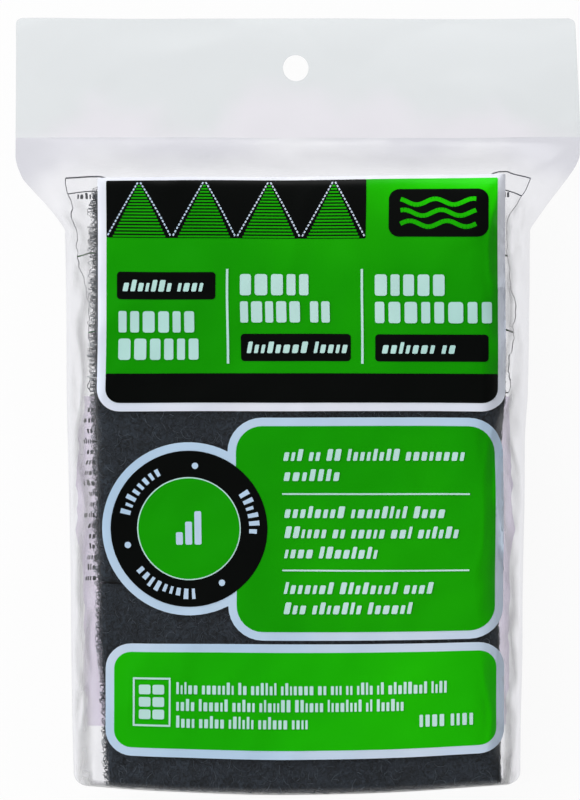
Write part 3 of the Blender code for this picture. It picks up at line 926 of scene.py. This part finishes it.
# %% Marks on the middle and foot panels
BODY_SMALL = 2.15 * MM
BODY_LETTER = 1.75 * MM
BODY_PITCH = 5.0 * MM
BODY_BLOCKS = ((8.65, (44.5, 13.6)), (22.85, (39.4, 42.8, 22.8)), (41.65, (36.6, 31.5)))
BODY_RULE = 0.42 * MM
body_rows = []
body_left = middle_green[0].x + 11.7 * MM
for block_head, lengths in BODY_BLOCKS:
    for row, length in enumerate(lengths):
        foot = middle_green[1].y - block_head * MM - row * BODY_PITCH
        seed = int(10 * block_head) + row
        body_rows += type_row(body_left, body_left + length * MM, foot, BODY_SMALL, BODY_LETTER, seed, SLANT)
body_rules = [
    rule(body_left - 0.4 * MM, body_left + 45.9 * MM, middle_green[1].y - down * MM, BODY_RULE)
    for down in (16.9, 35.85)
]
printed("body_rows", body_rows, MARKS, pale_ink)
printed("body_rules", body_rules, MARKS, pale_ink)

SMALL_PRINT = 2.2 * MM
SMALL_LETTER = 1.15 * MM
SMALL_PITCH = 4.15 * MM
CODE_LETTER = 1.4 * MM
small_rows = []
small_left = foot_green[0].x + 15.4 * MM
for row, length in enumerate((67.0, 56.3, 32.4)):
    foot = foot_green[1].y - 10.4 * MM - row * SMALL_PITCH
    small_rows += type_row(small_left, small_left + length * MM, foot, SMALL_PRINT, SMALL_LETTER, 60 + row)
code_left, code_right = small_left + 60.3 * MM, small_left + 73.4 * MM
small_rows += type_row(code_left, code_right, foot, SMALL_PRINT, CODE_LETTER, 71, tall=1.0)
printed("small_rows", small_rows, MARKS, pale_ink)
print("body blocks", len(body_rows), "small blocks", len(small_rows))

# %% [markdown]
# The signs are plain ones that anybody may use. A frame with two columns of three small blocks says
# how many pads there are. Three bars of growing height on the disc say the grade, and three wavy
# lines on a black field stand for crimped fibres. The strip at the head is black with hatched green
# triangles and a stitched white zigzag, in the colours and the scale of a woven braid.


# %% Signs
def frame_lines(left, right, foot, head, width):
    """The four sides of a thin rectangular frame."""
    return [
        round_box(left, right, head - width, head, width / 4, count=1),
        round_box(left, right, foot, foot + width, width / 4, count=1),
        round_box(left, left + width, foot + width, head - width, width / 4, count=1),
        round_box(right - width, right, foot + width, head - width, width / 4, count=1),
    ]


count_left = foot_green[0].x + 4.6 * MM
count_foot = foot_green[0].y + 5.35 * MM
SIGN_LINE = 0.48 * MM
SIGN_CORNER = 0.4 * MM
count_sign = frame_lines(count_left, count_left + 9.4 * MM, count_foot, count_foot + 12.2 * MM, SIGN_LINE)
for column in range(2):
    for row in range(3):
        x = count_left + (1.5 + 3.4 * column) * MM
        y = count_foot + (1.8 + 3.1 * row) * MM
        count_sign.append(round_box(x, x + 2.9 * MM, y, y + 2.4 * MM, SIGN_CORNER, count=2))
printed("count_sign", count_sign, MARKS, pale_ink)

grade_bars = []
for bar in range(3):
    x = RING_X + (-3.2 + 2.3 * bar) * MM
    head = RING_Y + (-0.9 + 2.6 * bar) * MM
    grade_bars.append(round_box(x, x + 1.7 * MM, RING_Y - 4.0 * MM, head, SIGN_CORNER))
printed("grade_bars", grade_bars, MARKS, white_ink)

RING_TYPE_FOOT = 14.9 * MM
RING_TYPE_SMALL = 1.9 * MM
RING_LETTER = 4.9
RING_GAP = 3.2
RING_WORDS = ((167, 112), (34, -10), (-85, -141))
RING_DOTS = (84, 195, -59)
DOT_PLACE = 15.7 * MM
DOT_RADIUS = 0.8 * MM
ring_marks = []
draw = np.random.default_rng(41)
for start, end in RING_WORDS:
    angle = start
    while angle > end + RING_LETTER / 2:
        width = RING_LETTER * draw.uniform(0.5, 0.85)
        height = RING_TYPE_SMALL * (CAPITAL if draw.random() < 0.35 or angle == start else 1.0)
        inner, outer = RING_TYPE_FOOT, RING_TYPE_FOOT + height
        ring_marks.append(sector(RING_X, RING_Y, inner, outer, angle - width, angle, 2))
        angle -= width + RING_GAP
for angle in RING_DOTS:
    x = RING_X + DOT_PLACE * math.cos(math.radians(angle))
    y = RING_Y + DOT_PLACE * math.sin(math.radians(angle))
    ring_marks.append(arc(x, y, DOT_RADIUS, 0, 360, 16)[:-1])
printed("ring_marks", ring_marks, MARKS, white_ink)
print("ring marks:", len(ring_marks), "blocks in the count sign:", len(count_sign))

# %% The braid strip
strip_low, strip_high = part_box("pattern_strip")
TRIANGLES = 4
HATCH_PITCH = 0.82 * MM
HATCH_WIDTH = HATCH_PITCH * 0.55
STITCH = 0.95 * MM
STITCH_WIDTH = 0.38 * MM
STITCH_SHARE = 0.62
triangle = (strip_high.x - strip_low.x) / TRIANGLES
strip_height = strip_high.y - strip_low.y
hatch = []
stitches = []
for number in range(TRIANGLES):
    middle = strip_low.x + (number + 0.5) * triangle
    for line in range(int(strip_height / HATCH_PITCH)):
        y = strip_low.y + (line + 0.5) * HATCH_PITCH
        half = (triangle / 2 - 1.1 * MM) * (1 - (y - strip_low.y) / strip_height) - 0.3 * MM
        if half > 0.4 * MM:
            hatch.append(rule(middle - half, middle + half, y, HATCH_WIDTH))
    left, right = middle - triangle / 2, middle + triangle / 2
    corners = [(left, strip_low.y), (middle, strip_high.y), (right, strip_low.y)]
    for (x, y), (next_x, next_y) in zip(corners, corners[1:]):
        length = math.hypot(next_x - x, next_y - y)
        for stitch in range(1, int(length / STITCH)):
            share, reach = stitch * STITCH / length, STITCH * STITCH_SHARE / length
            places = (share - reach / 2, share + reach / 2)
            ends = [(x + (next_x - x) * at, y + (next_y - y) * at) for at in places]
            stitches += ribbon(ends, STITCH_WIDTH)
printed("braid_hatch", hatch, OVERPRINT, green_ink)
printed("braid_stitches", stitches, MARKS, white_ink)
print("hatch lines:", len(hatch), "stitches:", len(stitches))

# %% The fibre sign
SIGN_FIELD_CORNER = 2.6 * MM
WAVE_HEIGHT = 0.75 * MM
WAVE_WIDTH = 1.1 * MM
sign_low, sign_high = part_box("sign_field")
sign_outline = boxed((sign_low, sign_high), SIGN_FIELD_CORNER)
printed("fibre_sign_field", [sign_outline], BLACK, black_ink, ["sign_field"])
sign_waves = []
for line in range(3):
    points = []
    for step in range(25):
        share = step / 24
        x = sign_low.x + (sign_high.x - sign_low.x) * (0.12 + 0.76 * share)
        y = sign_low.y + (sign_high.y - sign_low.y) * (0.27 + 0.23 * line)
        y += WAVE_HEIGHT * math.sin(share * 4 * math.pi + line)
        points.append((x, y))
    sign_waves += ribbon(points, WAVE_WIDTH)
printed("fibre_sign_waves", sign_waves, OVERPRINT, green_ink)

# %% [markdown]
# The back of the film is printed too, and its print shows from inside at both sides of the pads. It
# was printed while the film lay flat. On the filled bag, what was a straight line near the side runs
# up the slope of the film, and so it leans in towards the pads where the bag is full and out again at
# the shoulders. To find where a point of the flat film goes, a walk along the film's section measures
# the way up the slope. The tables give half the width of the frame, and then of the field, on each
# side at depths below the head of the pads, in millimetres.

# %% Print on the back
FRAME_DEPTHS = (0, 1.6, 4.6, 5.8, 8.8, 11, 15, 20.4, 24, 27.6, 32, 35, 40, 44.7, 50, 54.4)
LEFT_HALVES = (60, 60.2, 60.6, 60.8, 61.6, 61.2, 59.4, 60.8, 58.3, 56.6, 53.8, 54.1, 53.1, 54, 54.1, 52)
RIGHT_HALVES = (60.8, 60.6, 60, 59.8, 56, 54.9, 54.1, 54.1, 55.6, 57.4, 59.9, 60.8, 57.5, 56.2, 56.3, 53.5)
BOW_PLACES = (0.0, 0.76, 0.81, 0.87, 1.0)
SLOPE_STEP = 0.5 * MM
BACK_LINE = 0.3 * MM
back_head = BLOCK_HEAD + 0.45 * MM
back_foot = BLOCK_HEAD - 54.0 * MM


def on_back(distance, y, lift):
    """The point inside the back film that lay at a distance from the middle when the film was flat."""
    x = min(abs(distance), BLOCK_HALF)
    rest = abs(distance) - x
    edge = half_width(y) - 0.6 * MM
    while rest > 0 and x < edge:
        rise = film_height(x + SLOPE_STEP, y, -1) - film_height(x, y, -1)
        length = math.hypot(SLOPE_STEP, rise)
        x += SLOPE_STEP * min(rest / length, 1.0)
        rest -= length
    x = math.copysign(min(x, edge), distance)
    across, along = settled(x, y)
    return across, along, film_height(x, y, -1) + FILM + lift


def back_half(side, y):
    """Half the width of the printed frame on one side, which the full bag pulls in and out."""
    depth = (BLOCK_HEAD - y) / MM
    return float(np.interp(depth, FRAME_DEPTHS, RIGHT_HALVES if side > 0 else LEFT_HALVES)) * MM


def back_rule(y, width, left_bow, right_bow, dip=0.0):
    """A line across the back frame, which dips behind the pads and bows near each of its ends."""
    points = []
    for step in range(101):
        side = 1 if step > 50 else -1
        bow = right_bow if side > 0 else left_bow
        share = abs(step / 50 - 1)
        rise = float(np.interp(share, BOW_PLACES, (-dip, -dip, bow[0], *bow))) * MM
        points.append((side * share * back_half(side, y + bow[1] * MM), y + rise))
    return ribbon(points, width)


back_ink = flexographic_ink("grey_back_ink", "#5C5F6A", "#6C6F7A", "#4E515B", 0.4)
back_ground = thin_ink("thin_back_ground_ink", "#EDEAF2", 0.11)
HEAD_BOWS = ((0.0, -0.3), (0.25, -1.7))
FOOT_BOWS = ((0.2, -0.4), (0.0, -0.6))
back_lines = back_rule(back_head, BACK_LINE, *HEAD_BOWS, dip=1.4)
back_lines += back_rule(back_head - 3.7 * MM, BACK_LINE, (-0.3, -1.1), (-0.6, -2.3))
back_lines += back_rule(back_foot, BACK_LINE, *FOOT_BOWS)
for side, head_bow, foot_bow in zip((-1, 1), HEAD_BOWS, FOOT_BOWS):
    low, high = back_foot + foot_bow[1] * MM, back_head + head_bow[1] * MM
    side_rows = [low + (high - low) * step / 90 for step in range(91)]
    back_lines += ribbon([(side * back_half(side, y), y) for y in side_rows], BACK_LINE)
printed("back_frame", back_lines, 1, back_ink, lay=on_back)
TICK = 0.45 * MM
back_ticks = back_rule(back_head - 19.85 * MM, TICK, (-0.4, -1.4), (-0.1, -1.0))
back_ticks += back_rule(back_head - 39.5 * MM, TICK, (0.3, -0.6), (0.6, -0.4))
printed("back_ticks", back_ticks, 1, green_ink, lay=on_back)
FIELD_DEPTHS = (55.5, 60, 64, 67, 72, 77, 88, 97, 108, 118, 139)
FIELD_LEFT = (54.8, 54.9, 57.6, 59.6, 60.3, 60.5, 59.8, 58.6, 56.2, 56.4, 54.0)
FIELD_RIGHT = (55.1, 55.1, 55.1, 57.0, 56.6, 56.6, 58.1, 56.7, 56.5, 55.9, 54.0)
field = [(half * MM, BLOCK_HEAD - depth * MM) for half, depth in zip(FIELD_RIGHT, FIELD_DEPTHS)][::-1]
field += [(-half * MM, BLOCK_HEAD - depth * MM) for half, depth in zip(FIELD_LEFT, FIELD_DEPTHS)]
printed("back_field", [field], 0, back_ground, lay=on_back)
back_rows = type_row(-57 * MM, 54 * MM, back_head - 6.2 * MM, 1.3 * MM, 1.5 * MM, 199)
draw = np.random.default_rng(83)
for row in range(17):
    reach = draw.uniform(51, 57) * MM
    foot = back_foot - (5.5 + 2.65 * row) * MM
    back_rows += type_row(-reach, draw.uniform(48, 54) * MM, foot, 1.1 * MM, 1.35 * MM, 200 + row)
printed("back_rows", back_rows, 2, back_ink, lay=on_back)

# %% [markdown]
# Each pad is a web of crimped nylon fibres, bonded with resin and charged with fine grit. That gives
# it no surface of its own: the eye sees dark depth, with lighter fibres curling over it, and a ragged
# edge. So each pad has two parts. A dark, mottled body with soft edges fills most of the block; its
# colour is the fibres' charcoal, darkened further as painted shade for the depth of the web. Thousands
# of single fibres lie over it, each a thin tube that bends along its own arc. They are drawn 0.12 mm
# thick, and 0.15 mm at the sides, about three times their real thickness, because finer ones would
# not show.


# %% Nylon fibre
def nylon_fibre(name, dark, light, grain, dark_to, light_from, by_fibre):
    """Charcoal fibre with grit, a matt tangle. By_fibre is how much its colour changes by fibre."""
    material, tree, surface = new_material(name)
    place = add(tree, "ShaderNodeTexCoord")
    tangle = add(
        tree,
        "ShaderNodeTexNoise",
        {"Scale": 1 / grain, "Detail": 6.0, "Roughness": 0.7, "Distortion": 2.5},
        Vector=place.outputs["Object"],
    )
    own = add(tree, "ShaderNodeNewGeometry")
    shares = {"To Min": 1.0 - by_fibre, "To Max": 1.0}
    spread = add(tree, "ShaderNodeMapRange", shares, Value=own.outputs["Random Per Island"])
    multiply = {"operation": "MULTIPLY"}
    both = add(tree, "ShaderNodeMath", multiply, _0=tangle.outputs["Fac"], _1=spread.outputs["Result"])
    ramp = add(tree, "ShaderNodeValToRGB", Fac=both.outputs[0])
    ramp.color_ramp.elements[0].position = dark_to
    ramp.color_ramp.elements[0].color = linear(dark)
    ramp.color_ramp.elements[1].position = light_from
    ramp.color_ramp.elements[1].color = linear(light)
    bump = add(
        tree, "ShaderNodeBump", {"Strength": 0.9, "Distance": 0.4 * MM}, Height=tangle.outputs["Fac"]
    )
    shader = add(
        tree,
        "ShaderNodeBsdfPrincipled",
        {"Roughness": 0.62, "IOR": 1.53, "Specular IOR Level": 0.35},
        Base_Color=ramp.outputs["Color"],
        Normal=bump.outputs[0],
    )
    tree.links.new(shader.outputs[0], surface)
    return material


# The body's colour is the fibres' charcoal with painted shade for the depth of the web.
web_body_painted_shade = nylon_fibre("nylon_web_with_painted_depth_shade", "#080E14", "#37424D", 1.8 * MM, 0.40, 0.68, 0.0)
web_fibre = nylon_fibre("nylon_fibre_with_grit", "#131A22", "#7C8894", 0.5 * MM, 0.15, 0.52, 1.0)

# %% Pad bodies
PAD_CELL = 1.7 * MM
PAD_ROUND = 1.0 * MM
PAD_ROUGH = 0.35 * MM
HEAD_CUT = 1.2 * MM
HEAD_ROUND = 6.0 * MM
TRIM_ROWS = (BLOCK_FOOT, -73 * MM, -58 * MM, -38 * MM, -8 * MM, 5 * MM, BLOCK_HEAD)
LEFT_TRIMS = (4.2 * MM, 3.3 * MM, 2.2 * MM, 1.5 * MM, 1.2 * MM, 0.8 * MM, 0.8 * MM)
RIGHT_TRIMS = (0.8 * MM, 0.8 * MM, 0.8 * MM, 0.7 * MM, -0.2 * MM, -0.4 * MM, 0.9 * MM)
SEAM = 0.35 * MM
FOOT_FILL = 0.3 * MM
UNDER_FILM = 0.28 * MM
ROUGH_GRAIN = 3.5 * MM


def trimmed(x, y):
    """Draw the sides of the pads in a little, unevenly, as hand-packed pads lie."""
    corner = corner_inset(HEAD_ROUND, BLOCK_HEAD - HEAD_CUT - y)
    trim = corner + float(np.interp(y, TRIM_ROWS, RIGHT_TRIMS if x > 0 else LEFT_TRIMS))
    return x - trim * x / BLOCK_HALF


def under_film(x, y, z):
    """A height that is kept between the back film and the front film."""
    lowest = film_height(x, y, -1) + FILM + UNDER_FILM
    return max(min(z, film_height(x, y, 1) - FILM - UNDER_FILM), lowest)


def pad_body(low, high):
    """A block of even cells with soft edges and an uneven surface, settled with the bag."""
    shape = bmesh.new()
    bmesh.ops.create_cube(shape, size=1.0)
    centre, size = (low + high) / 2, high - low
    for point in shape.verts:
        point.co = Vector([centre[axis] + size[axis] * point.co[axis] for axis in range(3)])
    for axis in range(3):
        cut_along(shape, steps(low[axis], high[axis], PAD_CELL)[1:], axis)
    core_low = [place + PAD_ROUND for place in low]
    core_high = [place - PAD_ROUND for place in high]
    for point in shape.verts:
        core = Vector([min(max(point.co[axis], core_low[axis]), core_high[axis]) for axis in range(3)])
        out = (point.co - core).normalized()
        rough = PAD_ROUGH * noise.noise(point.co / ROUGH_GRAIN) - PAD_ROUGH
        x, y, z = core + out * (PAD_ROUND + rough)
        x = trimmed(x, y)
        point.co = (*settled(x, y), under_film(x, y, z))
    bmesh.ops.recalc_face_normals(shape, faces=shape.faces[:])
    return shape


# %% Fibres
FIBRE_RADIUS = 0.06 * MM
FUZZ_RADIUS = 0.075 * MM
FIBRE_TIP = 0.55
BULGE_SPREAD = 2.7
CURL_SPREAD = (0.6, 1.3)
NARROW_FACE = 20 * MM
NARROW_SHARE = 0.85
FIBRE_MATERIAL = 1
FIBRE_POINTS = 6
FIBRE_LENGTHS = (1.3 * MM, 5 * MM)
FIBRE_CURLS = (0.8 * MM, 4 * MM)


def fibres(draw, count, low, high, axis, sign, loft):
    """Centre lines of fibres that lie on one face of a pad and bulge out of it by up to loft."""
    u_axis, v_axis = [other for other in range(3) if other != axis]
    lengths = draw.uniform(*FIBRE_LENGTHS, count)
    if min(high[u_axis] - low[u_axis], high[v_axis] - low[v_axis]) < NARROW_FACE:
        lengths = lengths * NARROW_SHARE
    bends = lengths / FIBRE_POINTS / draw.uniform(*FIBRE_CURLS, count) * draw.choice((-1, 1), count)
    headings = draw.uniform(0, math.tau, count)
    curling = bends[:, None] * np.arange(FIBRE_POINTS) * draw.uniform(*CURL_SPREAD, (count, 1))
    turning = headings[:, None] + curling
    step = (lengths / FIBRE_POINTS)[:, None]
    u = draw.uniform(low[u_axis], high[u_axis], count)[:, None] + np.cumsum(step * np.cos(turning), axis=1)
    v = draw.uniform(low[v_axis], high[v_axis], count)[:, None] + np.cumsum(step * np.sin(turning), axis=1)
    share = np.linspace(0, 1, FIBRE_POINTS)
    bulge = draw.uniform(0, 1, count)[:, None] ** BULGE_SPREAD * loft * np.sin(math.pi * share)
    face = high[axis] if sign > 0 else low[axis]
    lines = np.empty((count, FIBRE_POINTS, 3))
    lines[:, :, u_axis] = np.clip(u, low[u_axis] + PAD_ROUGH, high[u_axis] - PAD_ROUGH)
    lines[:, :, v_axis] = np.clip(v, low[v_axis] + PAD_ROUGH, high[v_axis] - PAD_ROUGH)
    lines[:, :, axis] = face + sign * (bulge - PAD_ROUGH)
    return lines


def add_fibres(shape, lines, axis):
    """Give each centre line three sides, and add it to the pad's mesh."""
    radius = FUZZ_RADIUS if axis == 0 else FIBRE_RADIUS
    for line in lines:
        rings = []
        for number, (x, y, z) in enumerate(line):
            ahead = line[min(number + 1, FIBRE_POINTS - 1)] - line[max(number - 1, 0)]
            outward = Vector([float(axis == other) for other in range(3)])
            aside = Vector(ahead).cross(outward).normalized()
            taper = radius * (FIBRE_TIP if number in (0, FIBRE_POINTS - 1) else 1.0)
            x = trimmed(x, y)
            centre = Vector((*settled(x, y), under_film(x, y, z)))
            offsets = (outward, aside * 0.87 - outward * 0.5, -aside * 0.87 - outward * 0.5)
            rings.append([shape.verts.new(centre + offset * taper) for offset in offsets])
        for ring, following in zip(rings, rings[1:]):
            for turn in range(3):
                other = (turn + 1) % 3
                face = shape.faces.new((ring[turn], ring[other], following[other], following[turn]))
                face.material_index = FIBRE_MATERIAL
        for end in (rings[0][::-1], rings[-1]):
            shape.faces.new(end).material_index = FIBRE_MATERIAL


# %% The six pads
FACE_FIBRES = {"front": 1950, "back": 450}
SIDE_FIBRES = {"front": 760, "back": 460}
END_FIBRES = {"front": 660, "back": 500}
FACE_LOFT = 0.25 * MM
RIGHT_LOFT = 0.5 * MM
LEFT_LOFTS = {"foot": 2.0 * MM, "middle": 2.0 * MM, "head": 2.6 * MM}
END_LOFTS = {"foot": 0.5 * MM, "head": 0.6 * MM}
draw = np.random.default_rng(2024)
for name, (low, high) in pad_boxes.items():
    layer, row = name.split("_")[1:]
    low = low - Vector((0, FOOT_FILL if row == "foot" else SEAM, 0))
    high = high + Vector((0, -HEAD_CUT if row == "head" else SEAM, 0))
    shape = pad_body(low, high)
    sets = [
        (FACE_FIBRES[layer], 2, 1 if layer == "front" else -1, FACE_LOFT),
        (SIDE_FIBRES[layer], 0, 1, RIGHT_LOFT),
        (SIDE_FIBRES[layer], 0, -1, LEFT_LOFTS[row]),
    ]
    if row in END_LOFTS:
        sets.append((END_FIBRES[layer], 1, -1 if row == "foot" else 1, END_LOFTS[row]))
    for count, axis, sign, loft in sets:
        add_fibres(shape, fibres(draw, count, low, high, axis, sign, loft), axis)
    mesh = bpy.data.meshes.new(f"{name}_web")
    shape.to_mesh(mesh)
    shape.free()
    mesh.shade_smooth()
    pad = new_piece(f"{name}_web", mesh, web_body_painted_shade, web_fibre)
    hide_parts(name)
    print(name, "faces", len(mesh.polygons))

# %% [markdown]
# A plain floor, a soft studio and the camera of the photograph. The camera looks straight down from
# far off through a long lens. The two big lamps at the sides stand behind polarizing sheets, so the
# film doesn't mirror them, and the smaller one at the head shows in the creases. The room is brighter
# on the left and dark overhead, so the flat print keeps its colour and the right side lies in shade.
# The floor is white to the camera, and keeps part of its true shading, so that the shadow stays.

# %% Floor
PIXEL = 0.249 * MM
PHOTO_HEIGHT = 800
LENS = 500.0
SENSOR = 36.0
AIM = Vector((-1.6 * MM, 1.3 * MM, 20 * MM))
CAMERA_DISTANCE = PHOTO_HEIGHT * PIXEL * LENS / SENSOR
FLOOR_HALF = 6.0
FLOOR_DROP = 0.2 * MM
FLOOR_WHITE = 0.94


def white_to_camera(tree, ordinary, share):
    """Mix a shader with plain white, by a share, for the camera's rays and those film lets through."""
    path = add(tree, "ShaderNodeLightPath")
    seen = add(
        tree,
        "ShaderNodeMath",
        {"operation": "MAXIMUM"},
        _0=path.outputs["Is Camera Ray"],
        _1=path.outputs["Is Transmission Ray"],
    )
    amount = add(tree, "ShaderNodeMath", {"operation": "MULTIPLY", 1: share}, _0=seen.outputs[0])
    white = add(tree, "ShaderNodeEmission", {"Color": (1, 1, 1, 1), "Strength": 1.0})
    return add(tree, "ShaderNodeMixShader", _0=amount.outputs[0], _1=ordinary, _2=white.outputs[0])


floor_paint, tree, surface = new_material("matt_white_floor_paint")
paint = add(tree, "ShaderNodeBsdfDiffuse", {"Color": linear("#F5F5F5")})
tree.links.new(white_to_camera(tree, paint.outputs[0], FLOOR_WHITE).outputs[0], surface)
floor_mesh = bpy.data.meshes.new("floor")
floor_mesh.from_pydata(
    [(x * FLOOR_HALF, y * FLOOR_HALF, -FLOOR_DROP) for x, y in ((-1, -1), (1, -1), (1, 1), (-1, 1))],
    [],
    [(0, 1, 2, 3)],
)
floor_mesh.materials.append(floor_paint)
floor = bpy.data.objects.new("floor", floor_mesh)
bpy.context.scene.collection.objects.link(floor)
floor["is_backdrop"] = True

# %% Light of the room
world = bpy.data.worlds.new("studio")
bpy.context.scene.world = world
world.use_nodes = True
tree = world.node_tree
tree.nodes.clear()
direction = add(tree, "ShaderNodeTexCoord")
apart = add(tree, "ShaderNodeSeparateXYZ", Vector=direction.outputs["Generated"])
sky = {"From Min": 0.2, "From Max": 0.92, "To Min": 0.95, "To Max": 0.10}
height = add(tree, "ShaderNodeMapRange", sky, Value=apart.outputs["Z"])
window_side = {"From Min": -0.8, "From Max": 0.8, "To Min": 1.65, "To Max": 0.35}
shade = add(tree, "ShaderNodeMapRange", window_side, Value=apart.outputs["X"])
strength = add(tree, "ShaderNodeMath", {"operation": "MULTIPLY"}, _0=height.outputs[0], _1=shade.outputs[0])
room = add(tree, "ShaderNodeBackground", Strength=strength.outputs[0])
path = add(tree, "ShaderNodeLightPath")
backdrop = add(tree, "ShaderNodeBackground", {"Color": (1, 1, 1, 1), "Strength": 1.0})
whole = add(
    tree,
    "ShaderNodeMixShader",
    _0=path.outputs["Is Camera Ray"],
    _1=room.outputs[0],
    _2=backdrop.outputs[0],
)
add(tree, "ShaderNodeOutputWorld", Surface=whole.outputs[0])


# %% Lamps
def softbox(name, place, size, power, mirrored=True):
    """A square lamp that looks at the pack. Behind a polarizing sheet it isn't mirrored in the film."""
    lamp = bpy.data.lights.new(name, "AREA")
    lamp.size = size
    lamp.energy = power
    thing = bpy.data.objects.new(name, lamp)
    thing.location = place
    thing.rotation_euler = (-Vector(place)).to_track_quat("-Z", "Y").to_euler()
    thing.visible_glossy = mirrored
    bpy.context.scene.collection.objects.link(thing)


softbox("key_softbox", (-1.00, 0.30, 0.95), 1.70, 17.5, mirrored=False)
softbox("fill_softbox", (1.10, -0.15, 0.85), 1.20, 1.5, mirrored=False)
softbox("head_softbox", (0.25, 1.20, 0.60), 1.00, 4.5)

# %% Camera
camera_data = bpy.data.cameras.new("camera")
camera_data.lens = LENS
camera_data.sensor_width = SENSOR
camera_data.clip_end = 20.0
camera = bpy.data.objects.new("camera", camera_data)
camera.location = AIM + Vector((0, 0, CAMERA_DISTANCE))
bpy.context.scene.collection.objects.link(camera)
bpy.context.scene.camera = camera
bpy.context.scene.view_settings.view_transform = "Standard"

# %% Finish
low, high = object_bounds()
print("visual box in mm:", [round(side / MM, 1) for side in high - low])
